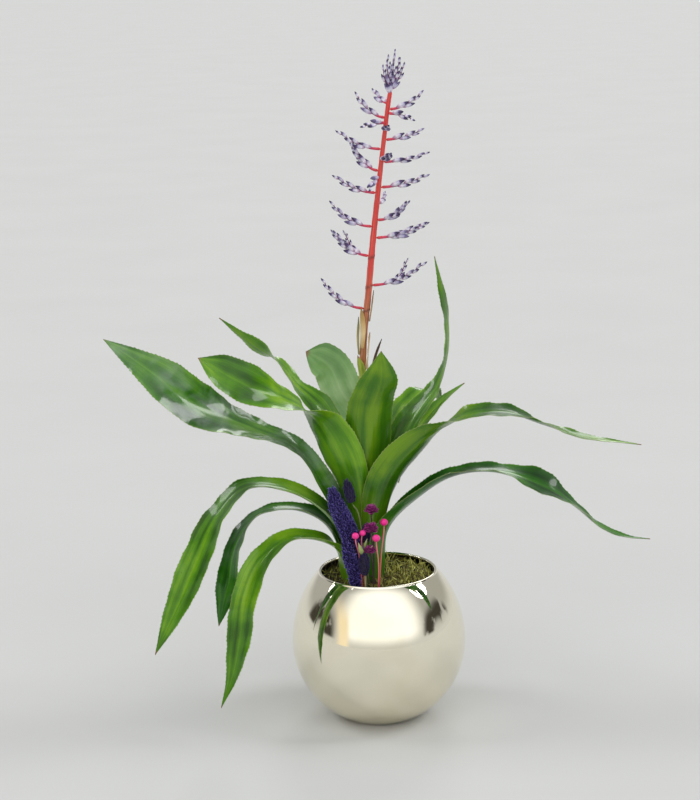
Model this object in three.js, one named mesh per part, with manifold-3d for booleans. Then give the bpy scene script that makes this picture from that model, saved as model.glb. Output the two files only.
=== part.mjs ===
// A flowering bromeliad in a mirror-silvered bowl vase, with dried accents set in the moss.
//
// Units are millimetres. +Z is up, +X is to the right and +Y is away from the front.
// The origin is the centre of the vase's flat base. Nothing moves: the whole arrangement is one
// standing body, made of the separate pieces that it would come apart into on a bench.

import * as THREE from "three";
import { mergeVertices } from "three/addons/utils/BufferGeometryUtils.js";
import Module from "manifold-3d";

const wasm = await Module();
wasm.setup();

// ---------------------------------------------------------------- driving dimensions

const GAP = 0.3; // clearance between touching pieces
const FACET_GAP = 0.6; // the same against the vase, whose flat facets dip inside its round outline
const FOOT_LIFT = 1.5; // an accent's slanted foot over the uneven moss

const VASE = {
  height: 173,
  baseRadius: 42,
  equatorRadius: 100,
  equatorHeight: 90,
  mouthRadius: 67.4,
  wall: 3,
  floor: 5,
  lip: 1, // drop of the lip's inner edge
  sides: 36,
  steps: 12,
};

const FILL = {
  soilTop: 138, // level of the potting mix
  mossLevel: 164, // mean level of the moss
  mossRelief: 1.6, // how far the moss rises and falls
  wellRadius: 29.5, // the hole in the moss that the rosette grows out of
  edgeBand: 6, // how far the moss rolls down at the glass
  rings: [48, 36], // radii at which the top of the moss is shaped
  wellSides: 24,
};

const CROWN = {
  x: -14,
  y: 0,
  sides: 16,
  rootDepth: 72, // lowest point of the root stock
  rootTipRadius: 9,
  rootTipHeight: 6, // the root stock's blunt tip
  rootRadius: 15,
  rootHeight: 38, // where the root stock starts to widen to the shoulder
  shoulderHeight: 4, // thickness of the shoulder's edge
  shoulder: 150, // where the leaf bases stand
  shoulderRadius: 27,
  neckRadius: 7.5,
  top: 168,
};

const LEAF = {
  thickness: 1.2,
  rows: 15, // cross-sections along one leaf
  firstRing: 9, // radius of the innermost ring of leaf bases
  ringStep: 2.4, // each ring of bases nests outside the one before
  funnelFlare: 0.5, // growth of every ring over each 100 mm of height
  clasped: 0.8, // share of the clasp that is left at the release height
  tipWidth: 2,
};

const STEM = {
  footRadius: 4.2,
  topRadius: 2.2,
  sides: 8,
  steps: 18,
};

const BRACT = {
  thickness: 0.8,
  rows: 6,
};

const COLORS = {
  silver: 0xe2dccb,
  soil: 0x3a2a1c,
  moss: 0x6f7a32,
  crown: 0x9aa86a,
  leaf: 0x3f8a2a,
  stem: 0xd9604e,
  bractGreen: 0xa8b43c,
  bractDry: 0x9c7440,
  spike: 0x9a88c8,
  plume: 0x4a3a9a,
  globe: 0x8a1f6e,
  dark: 0x241a4c,
  pink: 0xf03a9c,
};

// ---------------------------------------------------------------- small helpers

const radians = THREE.MathUtils.degToRad;
const lerp = THREE.MathUtils.lerp;

const root = new THREE.Group();

function addPiece(name, geometry, color, roughness = 0.6, metalness = 0) {
  const material = new THREE.MeshStandardMaterial({
    color,
    roughness,
    metalness,
    side: THREE.FrontSide,
  });
  const mesh = new THREE.Mesh(geometry, material);
  mesh.name = name;
  root.add(mesh);
  return mesh;
}

// A solid of revolution about +Z, from [radius, height] pairs that start and end on the axis.
function turned(profile, sides, centreX = 0, centreY = 0) {
  const points = profile.map(([radius, height]) => new THREE.Vector2(radius, height));
  const lathe = new THREE.LatheGeometry(points, sides);
  lathe.rotateX(Math.PI / 2);
  lathe.translate(centreX, centreY, 0);
  return lathe;
}

const distance = (p, q) => Math.hypot(q[0] - p[0], q[1] - p[1], q[2] - p[2]);

// The row at `t` (0 to 1) of a smooth curve through rows that start with x, y and z. Its slope at
// each row is the mean of the slopes on both sides, with the shorter side counting for more. The
// values after x, y and z stay between those of the two rows beside them.
function splineRow(rows, t) {
  const last = rows.length - 1;
  const place = Math.min(t * last, last - 1e-9);
  const index = Math.floor(place);
  const u = place - index;
  const start = rows[index];
  const stop = rows[index + 1];
  const span = distance(start, stop);
  const slopeAt = (i) => {
    const before = rows[Math.max(0, i - 1)];
    const after = rows[Math.min(last, i + 1)];
    const behind = distance(before, rows[i]) || span;
    const ahead = distance(rows[i], after) || span;
    return rows[i].map((value, k) => {
      const slopeBehind = i > 0 ? (value - before[k]) / behind : (after[k] - value) / ahead;
      const slopeAhead = i < last ? (after[k] - value) / ahead : slopeBehind;
      return (slopeBehind * ahead + slopeAhead * behind) / (ahead + behind);
    });
  };
  const slopeIn = slopeAt(index);
  const slopeOut = slopeAt(index + 1);
  const u2 = u * u;
  const u3 = u2 * u;
  return start.map((value, k) => {
    const curved =
      (2 * u3 - 3 * u2 + 1) * value +
      (u3 - 2 * u2 + u) * span * slopeIn[k] +
      (3 * u2 - 2 * u3) * stop[k] +
      (u3 - u2) * span * slopeOut[k];
    if (k < 3) return curved;
    return THREE.MathUtils.clamp(curved, Math.min(value, stop[k]), Math.max(value, stop[k]));
  });
}

// Triangles of a closed outline, zipped up from its first point, which suits a curved sliver too.
function zippedPolygon(count) {
  const triangles = [[0, 1, count - 1]];
  for (let low = 1, high = count - 1; low + 1 < high; low += 1, high -= 1) {
    triangles.push([low, low + 1, high]);
    if (low + 1 < high - 1) triangles.push([low + 1, high - 1, high]);
  }
  return triangles;
}

// A closed skin over a list of loops, each with the same number of points, with flat ends.
// The loops run anticlockwise as seen from the end of the list, looking back to its start. The
// quads are split along one diagonal, and from the point `mirrorFrom` of each loop on along the
// other, so that the two faces of a thin blade are split alike.
function skinned(loops, mirrorFrom = loops[0].length) {
  const count = loops[0].length;
  const positions = loops.flat().flatMap((p) => [p.x, p.y, p.z]);
  const indices = [];
  for (let row = 0; row + 1 < loops.length; row += 1) {
    for (let i = 0; i < count; i += 1) {
      const j = (i + 1) % count;
      const low = row * count;
      const high = low + count;
      if (i < mirrorFrom) {
        indices.push(low + i, low + j, high + j);
        indices.push(low + i, high + j, high + i);
      } else {
        indices.push(low + i, low + j, high + i);
        indices.push(low + j, high + j, high + i);
      }
    }
  }
  const end = (loops.length - 1) * count;
  for (const [a, b, c] of zippedPolygon(count)) {
    indices.push(a, c, b);
    indices.push(end + a, end + b, end + c);
  }
  const geometry = new THREE.BufferGeometry();
  geometry.setAttribute("position", new THREE.Float32BufferAttribute(positions, 3));
  geometry.setIndex(indices);
  return geometry;
}

// The unit direction of a smooth curve at `t`.
function directionAt(rows, t) {
  const reach = 0.01;
  const before = splineRow(rows, Math.max(0, t - reach));
  const after = splineRow(rows, Math.min(1, t + reach));
  return new THREE.Vector3(
    after[0] - before[0],
    after[1] - before[1],
    after[2] - before[2],
  ).normalize();
}

// A round body of changing radius along a smooth line. Rows are [x, y, z, radius].
function taperedRod(rows, sides, steps) {
  const loops = [];
  const side = new THREE.Vector3(1, 1, 0); // carried along the line, so that the skin never twists
  for (let step = 0; step <= steps; step += 1) {
    const t = step / steps;
    const [x, y, z, radius] = splineRow(rows, t);
    const along = directionAt(rows, t);
    side.addScaledVector(along, -side.dot(along)).normalize();
    const up = new THREE.Vector3().crossVectors(along, side);
    const loop = [];
    for (let i = 0; i < sides; i += 1) {
      const angle = (2 * Math.PI * i) / sides;
      loop.push(
        new THREE.Vector3(x, y, z)
          .addScaledVector(side, radius * Math.cos(angle))
          .addScaledVector(up, radius * Math.sin(angle)),
      );
    }
    loops.push(loop);
  }
  return skinned(loops);
}

function toSolid(geometry) {
  const bare = geometry.clone();
  bare.deleteAttribute("normal");
  bare.deleteAttribute("uv");
  const merged = mergeVertices(bare, 1e-3);
  return new wasm.Manifold(
    new wasm.Mesh({
      numProp: 3,
      vertProperties: merged.attributes.position.array,
      triVerts: new Uint32Array(merged.index.array),
    }),
  );
}

function toGeometry(solid) {
  const mesh = solid.getMesh();
  const geometry = new THREE.BufferGeometry();
  geometry.setAttribute("position", new THREE.BufferAttribute(mesh.vertProperties, 3));
  geometry.setIndex(new THREE.BufferAttribute(mesh.triVerts, 1));
  return geometry;
}

const cut = (geometry, tool) => toGeometry(toSolid(geometry).subtract(toSolid(tool)));

// ---------------------------------------------------------------- vase, potting mix and moss

// The vase's outline is two quarter ellipses that meet at the equator. `inset` moves it inwards.
function vaseSemiHeights(inset) {
  const semi = (drop, radius) => drop / Math.sqrt(1 - (radius / VASE.equatorRadius) ** 2) - inset;
  return {
    low: semi(VASE.equatorHeight, VASE.baseRadius),
    high: semi(VASE.height - VASE.equatorHeight, VASE.mouthRadius),
  };
}

function vaseRadiusAt(height, inset = 0) {
  const { low, high } = vaseSemiHeights(inset);
  const rise = height - VASE.equatorHeight;
  const share = rise / (rise < 0 ? low : high);
  return (VASE.equatorRadius - inset) * Math.sqrt(1 - share * share);
}

// Points up the outline between two heights, evenly spaced by angle about the equator.
function vaseWall(fromHeight, toHeight, count, inset) {
  const { low, high } = vaseSemiHeights(inset);
  const angleAt = (height) => {
    const rise = height - VASE.equatorHeight;
    return Math.asin(rise / (rise < 0 ? low : high));
  };
  const points = [];
  for (let i = 0; i <= count; i += 1) {
    const angle = lerp(angleAt(fromHeight), angleAt(toHeight), i / count);
    const height = VASE.equatorHeight + (angle < 0 ? low : high) * Math.sin(angle);
    points.push([(VASE.equatorRadius - inset) * Math.cos(angle), height]);
  }
  return points;
}

function makeVase() {
  const lipRadius = VASE.mouthRadius - VASE.wall / 2;
  const profile = [
    [0, 0],
    ...vaseWall(0, VASE.height, VASE.steps, 0),
    [lipRadius, VASE.height + VASE.lip],
    ...vaseWall(VASE.floor, VASE.height - VASE.lip, VASE.steps, VASE.wall).reverse(),
    [0, VASE.floor],
  ];
  addPiece("vase", turned(profile, VASE.sides), COLORS.silver, 0.08, 1);
}

function crownProfile(clearance) {
  const neck = CROWN.neckRadius + clearance;
  return [
    [0, CROWN.rootDepth - clearance],
    [CROWN.rootTipRadius + clearance, CROWN.rootDepth + CROWN.rootTipHeight],
    [CROWN.rootRadius + clearance, CROWN.rootDepth + CROWN.rootHeight],
    [CROWN.shoulderRadius + clearance, CROWN.shoulder - CROWN.shoulderHeight],
    [CROWN.shoulderRadius + clearance, CROWN.shoulder + clearance],
    [neck, CROWN.shoulder + clearance],
    [neck, CROWN.top + clearance],
    [0, CROWN.top + clearance],
  ];
}

function makeFill() {
  const lining = VASE.wall + FACET_GAP;
  const soilProfile = [
    [0, VASE.floor + GAP],
    ...vaseWall(VASE.floor + GAP, FILL.soilTop, 8, lining),
    [0, FILL.soilTop],
  ];
  const rootSpace = turned(crownProfile(GAP), CROWN.sides, CROWN.x, CROWN.y);
  const soil = cut(turned(soilProfile, VASE.sides), rootSpace);
  addPiece("potting_mix", soil, COLORS.soil, 0.95);

  const mossProfile = [
    [0, FILL.soilTop + GAP],
    ...vaseWall(FILL.soilTop + GAP, FILL.mossLevel - 2, 3, lining),
    [vaseRadiusAt(FILL.mossLevel, lining) - FILL.edgeBand, FILL.mossLevel],
    ...FILL.rings.map((radius) => [radius, FILL.mossLevel]),
    [0, FILL.mossLevel],
  ];
  const mossDisc = turned(mossProfile, VASE.sides);
  raiseMoss(mossDisc);
  const wellProfile = [
    [0, VASE.floor],
    [FILL.wellRadius, VASE.floor],
    [FILL.wellRadius, VASE.height],
    [0, VASE.height],
  ];
  const well = turned(wellProfile, FILL.wellSides, CROWN.x, CROWN.y);
  addPiece("moss", cut(mossDisc, well), COLORS.moss, 0.95);
  addPiece("crown", turned(crownProfile(0), CROWN.sides, CROWN.x, CROWN.y), COLORS.crown, 0.6);
}

// Height of the moss surface above a point of the mouth.
function mossHeightAt(x, y) {
  return FILL.mossLevel + FILL.mossRelief * Math.sin(x / 11) * Math.cos(y / 9);
}

function raiseMoss(geometry) {
  const position = geometry.attributes.position;
  for (let i = 0; i < position.count; i += 1) {
    if (position.getZ(i) > FILL.mossLevel - 1) {
      position.setZ(i, mossHeightAt(position.getX(i), position.getY(i)));
    }
  }
}

// ---------------------------------------------------------------- leaves

// A leaf is a channelled blade. Its base stands on the crown in `ring`, wraps `clasp` degrees to
// each side of `facing`, and follows the funnel of the rosette up to the `release` height. From
// there it runs through `blade` rows of [x, y, z, width, roll]. `heading` is the compass direction
// of the blade and `channel` its fold, in degrees, from where it is released to its tip.
const LEAVES = [
  {
    name: "leaf_front",
    ring: 0,
    facing: 290,
    clasp: 72,
    release: 248,
    heading: 270,
    channel: [110, 25],
    blade: [
      [-6, -22, 320, 50, 15],
      [-4, -30, 374, 50, 15],
      [1, -36, 404, 34, 20],
      [8, -40, 437, LEAF.tipWidth, 20],
    ],
  },
  {
    name: "leaf_back_left",
    ring: 0,
    facing: 88,
    clasp: 58,
    release: 260,
    heading: 115,
    channel: [110, 20],
    blade: [
      [-12, 60, 318, 30, 5],
      [-37, 74, 364, 40, -25],
      [-52, 84, 396, 36, -20],
      [-79, 88, 414, LEAF.tipWidth, -20],
    ],
  },
  {
    name: "leaf_upper_left",
    ring: 1,
    facing: 178,
    clasp: 55,
    release: 250,
    heading: 160,
    channel: [110, 20],
    blade: [
      [-40, 14, 303, 34, -30],
      [-65, 34, 358, 36, -20],
      [-90, 50, 381, 30, 0],
      [-114, 58, 411, 26, 22],
      [-130, 62, 421, 24, 55],
      [-153, 66, 438, 17, 65],
      [-177, 70, 457, LEAF.tipWidth, 65],
    ],
  },
  {
    name: "leaf_right_upright",
    ring: 1,
    facing: 10,
    clasp: 58,
    release: 240,
    heading: 25,
    channel: [110, 20],
    blade: [
      [21, 5, 304, 38, 15],
      [45, 14, 350, 36, 15],
      [71, 24, 382, 28, -5],
      [84, 34, 424, 20, -20],
      [83, 36, 462, 18, -5],
      [77, 38, 496, 14, 10],
      [70, 40, 528, LEAF.tipWidth, 15],
    ],
  },
  {
    name: "leaf_left_front",
    ring: 2,
    facing: 235,
    clasp: 70,
    release: 244,
    heading: 195,
    channel: [110, 20],
    blade: [
      [-39, -33, 317, 46, 60],
      [-60, -40, 358, 44, 40],
      [-78, -50, 376, 38, 0],
      [-107, -62, 392, 40, -35],
      [-143, -76, 413, 40, -65],
      [-171, -84, 431, 26, -65],
      [-189, -88, 443, LEAF.tipWidth, -60],
    ],
  },
  {
    name: "leaf_back_right",
    ring: 2,
    facing: 26,
    clasp: 56,
    release: 238,
    heading: 45,
    channel: [110, 30],
    blade: [
      [33, 25, 304, 28, -10],
      [60, 44, 341, 30, -15],
      [82, 58, 361, 20, -10],
      [104, 66, 376, LEAF.tipWidth, -10],
    ],
  },
  {
    name: "leaf_right_upper",
    ring: 3,
    facing: 312,
    clasp: 66,
    release: 228,
    heading: 345,
    channel: [110, 20],
    blade: [
      [17, -32, 294, 44, -45],
      [50, -38, 333, 40, -40],
      [78, -44, 353, 34, -10],
      [105, -50, 366, 34, 15],
      [137, -58, 371, 34, 10],
      [186, -68, 358, 26, -15],
      [223, -76, 346, 20, 5],
      [257, -84, 342, 12, 10],
      [288, -90, 339, LEAF.tipWidth, 10],
    ],
  },
  {
    name: "leaf_back_inner",
    ring: 3,
    facing: 100,
    clasp: 46,
    release: 248,
    heading: 70,
    channel: [110, 25],
    blade: [
      [16, 60, 314, 32, -12],
      [43, 74, 355, 34, -20],
      [60, 90, 364, 28, -5],
      [73, 110, 352, 18, 5],
      [80, 126, 336, LEAF.tipWidth, 10],
    ],
  },
  {
    name: "leaf_far_left",
    ring: 4,
    facing: 185,
    clasp: 68,
    release: 206,
    heading: 188,
    channel: [110, 20],
    blade: [
      [-57, -20, 277, 28, -40],
      [-89, -30, 327, 28, -25],
      [-135, -40, 350, 42, -20],
      [-191, -52, 379, 56, -45],
      [-239, -58, 420, 46, -65],
      [-294, -60, 460, LEAF.tipWidth, -70],
    ],
  },
  {
    name: "leaf_right_lower",
    ring: 4,
    facing: 340,
    clasp: 68,
    release: 218,
    heading: 350,
    channel: [125, 20],
    blade: [
      [50, -22, 268, 36, 0],
      [83, -28, 290, 34, 0],
      [116, -34, 298, 32, 0],
      [149, -40, 296, 36, 5],
      [187, -48, 283, 38, 25],
      [221, -56, 261, 28, -10],
      [249, -64, 239, 20, 0],
      [277, -70, 229, 12, 10],
      [301, -76, 228, LEAF.tipWidth, 10],
    ],
  },
  {
    name: "leaf_arch_outer",
    ring: 5,
    facing: 200,
    clasp: 60,
    release: 205,
    heading: 200,
    channel: [110, 20],
    blade: [
      [-58, -26, 250, 30, -20],
      [-96, -38, 280, 30, -15],
      [-146, -50, 287, 32, -5],
      [-176, -58, 258, 36, -15],
      [-201, -66, 209, 38, -35],
      [-225, -72, 157, 28, -45],
      [-251, -76, 102, LEAF.tipWidth, -45],
    ],
  },
  {
    name: "leaf_arch_middle",
    ring: 6,
    facing: 175,
    clasp: 50,
    release: 196,
    heading: 190,
    channel: [110, 20],
    blade: [
      [-64, -8, 238, 28, -15],
      [-98, -18, 253, 26, 0],
      [-135, -28, 249, 26, 0],
      [-159, -36, 219, 28, -20],
      [-170, -42, 171, 26, -55],
      [-181, -46, 124, LEAF.tipWidth, -60],
    ],
  },
  {
    name: "leaf_arch_front",
    ring: 7,
    facing: 215,
    clasp: 48,
    release: 196,
    heading: 200,
    channel: [110, 20],
    blade: [
      [-64, -40, 222, 28, -5],
      [-97, -52, 228, 30, -5],
      [-129, -62, 206, 32, -25],
      [-147, -72, 169, 32, -40],
      [-156, -80, 119, 30, -40],
      [-166, -86, 74, 18, -35],
      [-178, -90, 43, LEAF.tipWidth, -35],
    ],
  },
  {
    name: "leaf_back_low_left",
    ring: 7,
    facing: 112,
    clasp: 40,
    release: 200,
    heading: 100,
    channel: [110, 20],
    blade: [
      [-28, 74, 240, 28, 0],
      [-36, 118, 252, 32, 5],
      [-44, 160, 232, 28, 10],
      [-50, 190, 192, LEAF.tipWidth, 10],
    ],
  },
  {
    name: "leaf_back_low_right",
    ring: 5,
    facing: 74,
    clasp: 48,
    release: 205,
    heading: 80,
    channel: [110, 20],
    blade: [
      [2, 78, 262, 28, 0],
      [10, 122, 280, 32, -5],
      [20, 164, 262, 28, -10],
      [28, 196, 222, LEAF.tipWidth, -10],
    ],
  },
];

const TOP_FOLDS = [1, 0.5, 0, -0.5, -1]; // places across a blade's upper face, edge to edge
const UNDER_FOLDS = [-0.5, 0, 0.5];

// One closed outline across a blade, at a row of [x, y, z, width, fold, heading, roll].
function bladeOutline(row, along, thickness) {
  const [x, y, z, width, foldDegrees, headingDegrees, rollDegrees] = row;
  const heading = radians(headingDegrees);
  const roll = radians(rollDegrees);
  const level = new THREE.Vector3(-Math.sin(heading), Math.cos(heading), 0);
  const flat = level.addScaledVector(along, -level.dot(along)).normalize();
  const upper = new THREE.Vector3().crossVectors(along, flat);
  const across = flat.clone().multiplyScalar(Math.cos(roll)).addScaledVector(upper, Math.sin(roll));
  const face = new THREE.Vector3().crossVectors(along, across);
  const halfFold = radians(foldDegrees) / 2;
  const bendRadius = width / 2 / Math.sin(halfFold);
  const place = (share, depth) => {
    const angle = share * halfFold;
    return new THREE.Vector3(x, y, z)
      .addScaledVector(across, (bendRadius + depth) * Math.sin(angle))
      .addScaledVector(face, bendRadius - (bendRadius + depth) * Math.cos(angle));
  };
  return [
    ...TOP_FOLDS.map((share) => place(share, 0)),
    ...UNDER_FOLDS.map((share) => place(share, thickness)),
  ];
}

// A blade along rows of [x, y, z, width, fold, heading, roll], even in length between sections.
function bladeSolid(rows, sections, thickness) {
  const samples = 120; // fine steps that the length is measured in
  const lengths = [0];
  let previous = splineRow(rows, 0);
  for (let i = 1; i <= samples; i += 1) {
    const next = splineRow(rows, i / samples);
    lengths.push(lengths[i - 1] + distance(previous, next));
    previous = next;
  }
  const loops = [];
  for (let section = 0; section < sections; section += 1) {
    const target = (lengths[samples] * section) / (sections - 1);
    let i = 0;
    while (i < samples - 1 && lengths[i + 1] < target) i += 1;
    const t = (i + (target - lengths[i]) / (lengths[i + 1] - lengths[i])) / samples;
    loops.push(bladeOutline(splineRow(rows, t), directionAt(rows, t), thickness));
  }
  return skinned(loops, TOP_FOLDS.length - 1);
}

function leafRows(leaf) {
  const foot = CROWN.shoulder + GAP;
  const facing = radians(leaf.facing);
  const funnelRow = (height, clasp) => {
    const flare = 1 + (LEAF.funnelFlare * (height - foot)) / 100;
    const radius = (LEAF.firstRing + LEAF.ringStep * leaf.ring) * flare;
    const x = CROWN.x + radius * Math.cos(facing);
    const y = CROWN.y + radius * Math.sin(facing);
    return [x, y, height, 2 * radius * Math.sin(radians(clasp)), 2 * clasp, leaf.facing, 0];
  };
  const last = leaf.blade.length;
  const bladeRows = leaf.blade.map(([x, y, z, width, roll], i) => {
    const unfolded = (i + 1) / last;
    const fold = lerp(leaf.channel[1], leaf.channel[0], (1 - unfolded) ** 2);
    return [x, y, z, width, fold, leaf.heading, roll];
  });
  return [
    funnelRow(foot, leaf.clasp),
    funnelRow((foot + leaf.release) / 2, lerp(leaf.clasp, leaf.clasp * LEAF.clasped, 0.5)),
    funnelRow(leaf.release, leaf.clasp * LEAF.clasped),
    ...bladeRows,
  ];
}

function makeLeaves() {
  for (const leaf of LEAVES) {
    const blade = bladeSolid(leafRows(leaf), LEAF.rows, LEAF.thickness);
    addPiece(leaf.name, blade, COLORS.leaf, 0.4);
  }
}

// ---------------------------------------------------------------- flower stem, bracts and spikes

// Centre line of the flower stem, from the crown to the foot of its top tuft.
const STEM_LINE = [
  [CROWN.x, CROWN.y, CROWN.top + GAP],
  [-15, 5, 300],
  [-13, 8, 400],
  [-10, 8, 450],
  [-5, 8, 490],
  [-1, 8, 530],
  [6, 9, 590],
  [15, 10, 660],
  [23, 10, 714],
];

function stemAt(height) {
  const upper = Math.max(1, STEM_LINE.findIndex((point) => point[2] >= height));
  const [a, b] = [STEM_LINE[upper - 1], STEM_LINE[upper]];
  const share = (height - a[2]) / (b[2] - a[2]);
  const run = STEM_LINE[STEM_LINE.length - 1][2] - STEM_LINE[0][2];
  return {
    x: lerp(a[0], b[0], share),
    y: lerp(a[1], b[1], share),
    radius: lerp(STEM.footRadius, STEM.topRadius, (height - STEM_LINE[0][2]) / run),
  };
}

function makeStem() {
  const rows = STEM_LINE.map(([x, y, z]) => [x, y, z, stemAt(z).radius]);
  addPiece("flower_stem", taperedRod(rows, STEM.sides, STEM.steps), COLORS.stem, 0.5);
}

// Bracts on the lower stem. Rows are [x, y, z, width, fold, heading, roll].
const BRACTS = [
  {
    name: "bract_green",
    color: COLORS.bractGreen,
    rows: [
      [-14, 2, 384, 7, 90, 240, 0],
      [-14, 1, 403, 9, 80, 240, 0],
      [-18, 2, 424, 1.5, 60, 240, 0],
    ],
  },
  {
    name: "bract_olive",
    color: COLORS.bractDry,
    rows: [
      [-17, 6, 424, 3, 80, 200, 0],
      [-18, 6, 444, 6, 80, 200, 0],
      [-16, 6, 467, 1.2, 60, 200, 0],
    ],
  },
  {
    name: "bract_gold",
    color: COLORS.bractDry,
    rows: [
      [-13, 2, 432, 4, 90, 240, 0],
      [-12, 2, 454, 6, 80, 240, 0],
      [-13, 4, 478, 1.2, 60, 240, 0],
    ],
  },
  {
    name: "bract_brown",
    color: COLORS.bractDry,
    rows: [
      [-4, 5, 462, 3, 90, 350, 0],
      [-1, 5, 480, 3.5, 80, 350, 0],
      [1, 5, 497, 1, 60, 350, 0],
    ],
  },
  {
    name: "bract_papery",
    color: COLORS.bractDry,
    rows: [
      [-8, 3, 408, 4, 90, 300, 0],
      [-6, 3, 428, 4.5, 80, 300, 0],
      [-4, 3, 450, 1.2, 60, 300, 0],
    ],
  },
  {
    name: "bract_sliver",
    color: COLORS.bractDry,
    rows: [
      [-4, -12, 404, 2.5, 90, 300, 0],
      [2, -14, 426, 3, 80, 300, 0],
      [9, -16, 446, 1, 60, 300, 0],
    ],
  },
];

function makeBracts() {
  for (const bract of BRACTS) {
    const blade = bladeSolid(bract.rows, BRACT.rows, BRACT.thickness);
    addPiece(bract.name, blade, bract.color, 0.7);
  }
}

// Side spikes: height on the stem, compass direction, reach out from the stem and rise to the tip.
const SPIKES = [
  [476, 190, 46, 32],
  [502, 350, 61, 25],
  [535, 172, 46, 27],
  [555, 6, 58, 14],
  [568, 204, 48, 28],
  [575, 332, 40, 21],
  [593, 70, 26, 8],
  [605, 176, 46, 18],
  [611, 2, 55, 14],
  [622, 240, 22, -10],
  [629, 160, 33, 28],
  [639, 348, 56, 10],
  [643, 292, 25, 5],
  [653, 190, 48, 20],
  [663, 18, 42, 12],
  [675, 276, 24, 5],
  [682, 226, 36, -1],
  [687, 168, 33, 29],
  [692, 322, 34, -5],
  [696, 14, 37, 20],
  [703, 140, 22, 16],
];

const SPIKE = {
  sides: 6,
  steps: 6,
  footGap: 1, // clearance from the stem, which the tilt of a spike's flat foot needs
  // Rows of [share of the reach, share of the rise, radius] from the stem to the tip.
  shape: [
    [0, 0, 1.4],
    [0.25, 0.08, 1.7],
    [0.5, 0.26, 3.4],
    [0.75, 0.56, 4.2],
    [1, 1, 1.2],
  ],
};

// The tuft on top of the stem, in rows of [x, height, radius] above the stem's end.
const TUFT = {
  sides: 8,
  steps: 7,
  shape: [
    [0, GAP, STEM.topRadius],
    [2, 14, 8],
    [4, 30, 9],
    [8, 48, 2],
  ],
};

function makeSpikes() {
  SPIKES.forEach(([height, compass, reach, rise], i) => {
    const stem = stemAt(height);
    const direction = radians(compass);
    const start = stem.radius + SPIKE.footGap;
    const rows = SPIKE.shape.map(([share, lift, radius]) => {
      const out = lerp(start, reach, share);
      const x = stem.x + out * Math.cos(direction);
      const y = stem.y + out * Math.sin(direction);
      return [x, y, height + rise * lift, radius];
    });
    const number = String(i + 1).padStart(2, "0");
    addPiece("spike_" + number, taperedRod(rows, SPIKE.sides, SPIKE.steps), COLORS.spike, 0.6);
  });
}

function makeTuft() {
  const [x, y, z] = STEM_LINE[STEM_LINE.length - 1];
  const rows = TUFT.shape.map(([lean, rise, radius]) => [x + lean, y, z + rise, radius]);
  addPiece("spike_top", taperedRod(rows, TUFT.sides, TUFT.steps), COLORS.spike, 0.6);
}

// ---------------------------------------------------------------- dried accents in the moss

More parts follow.
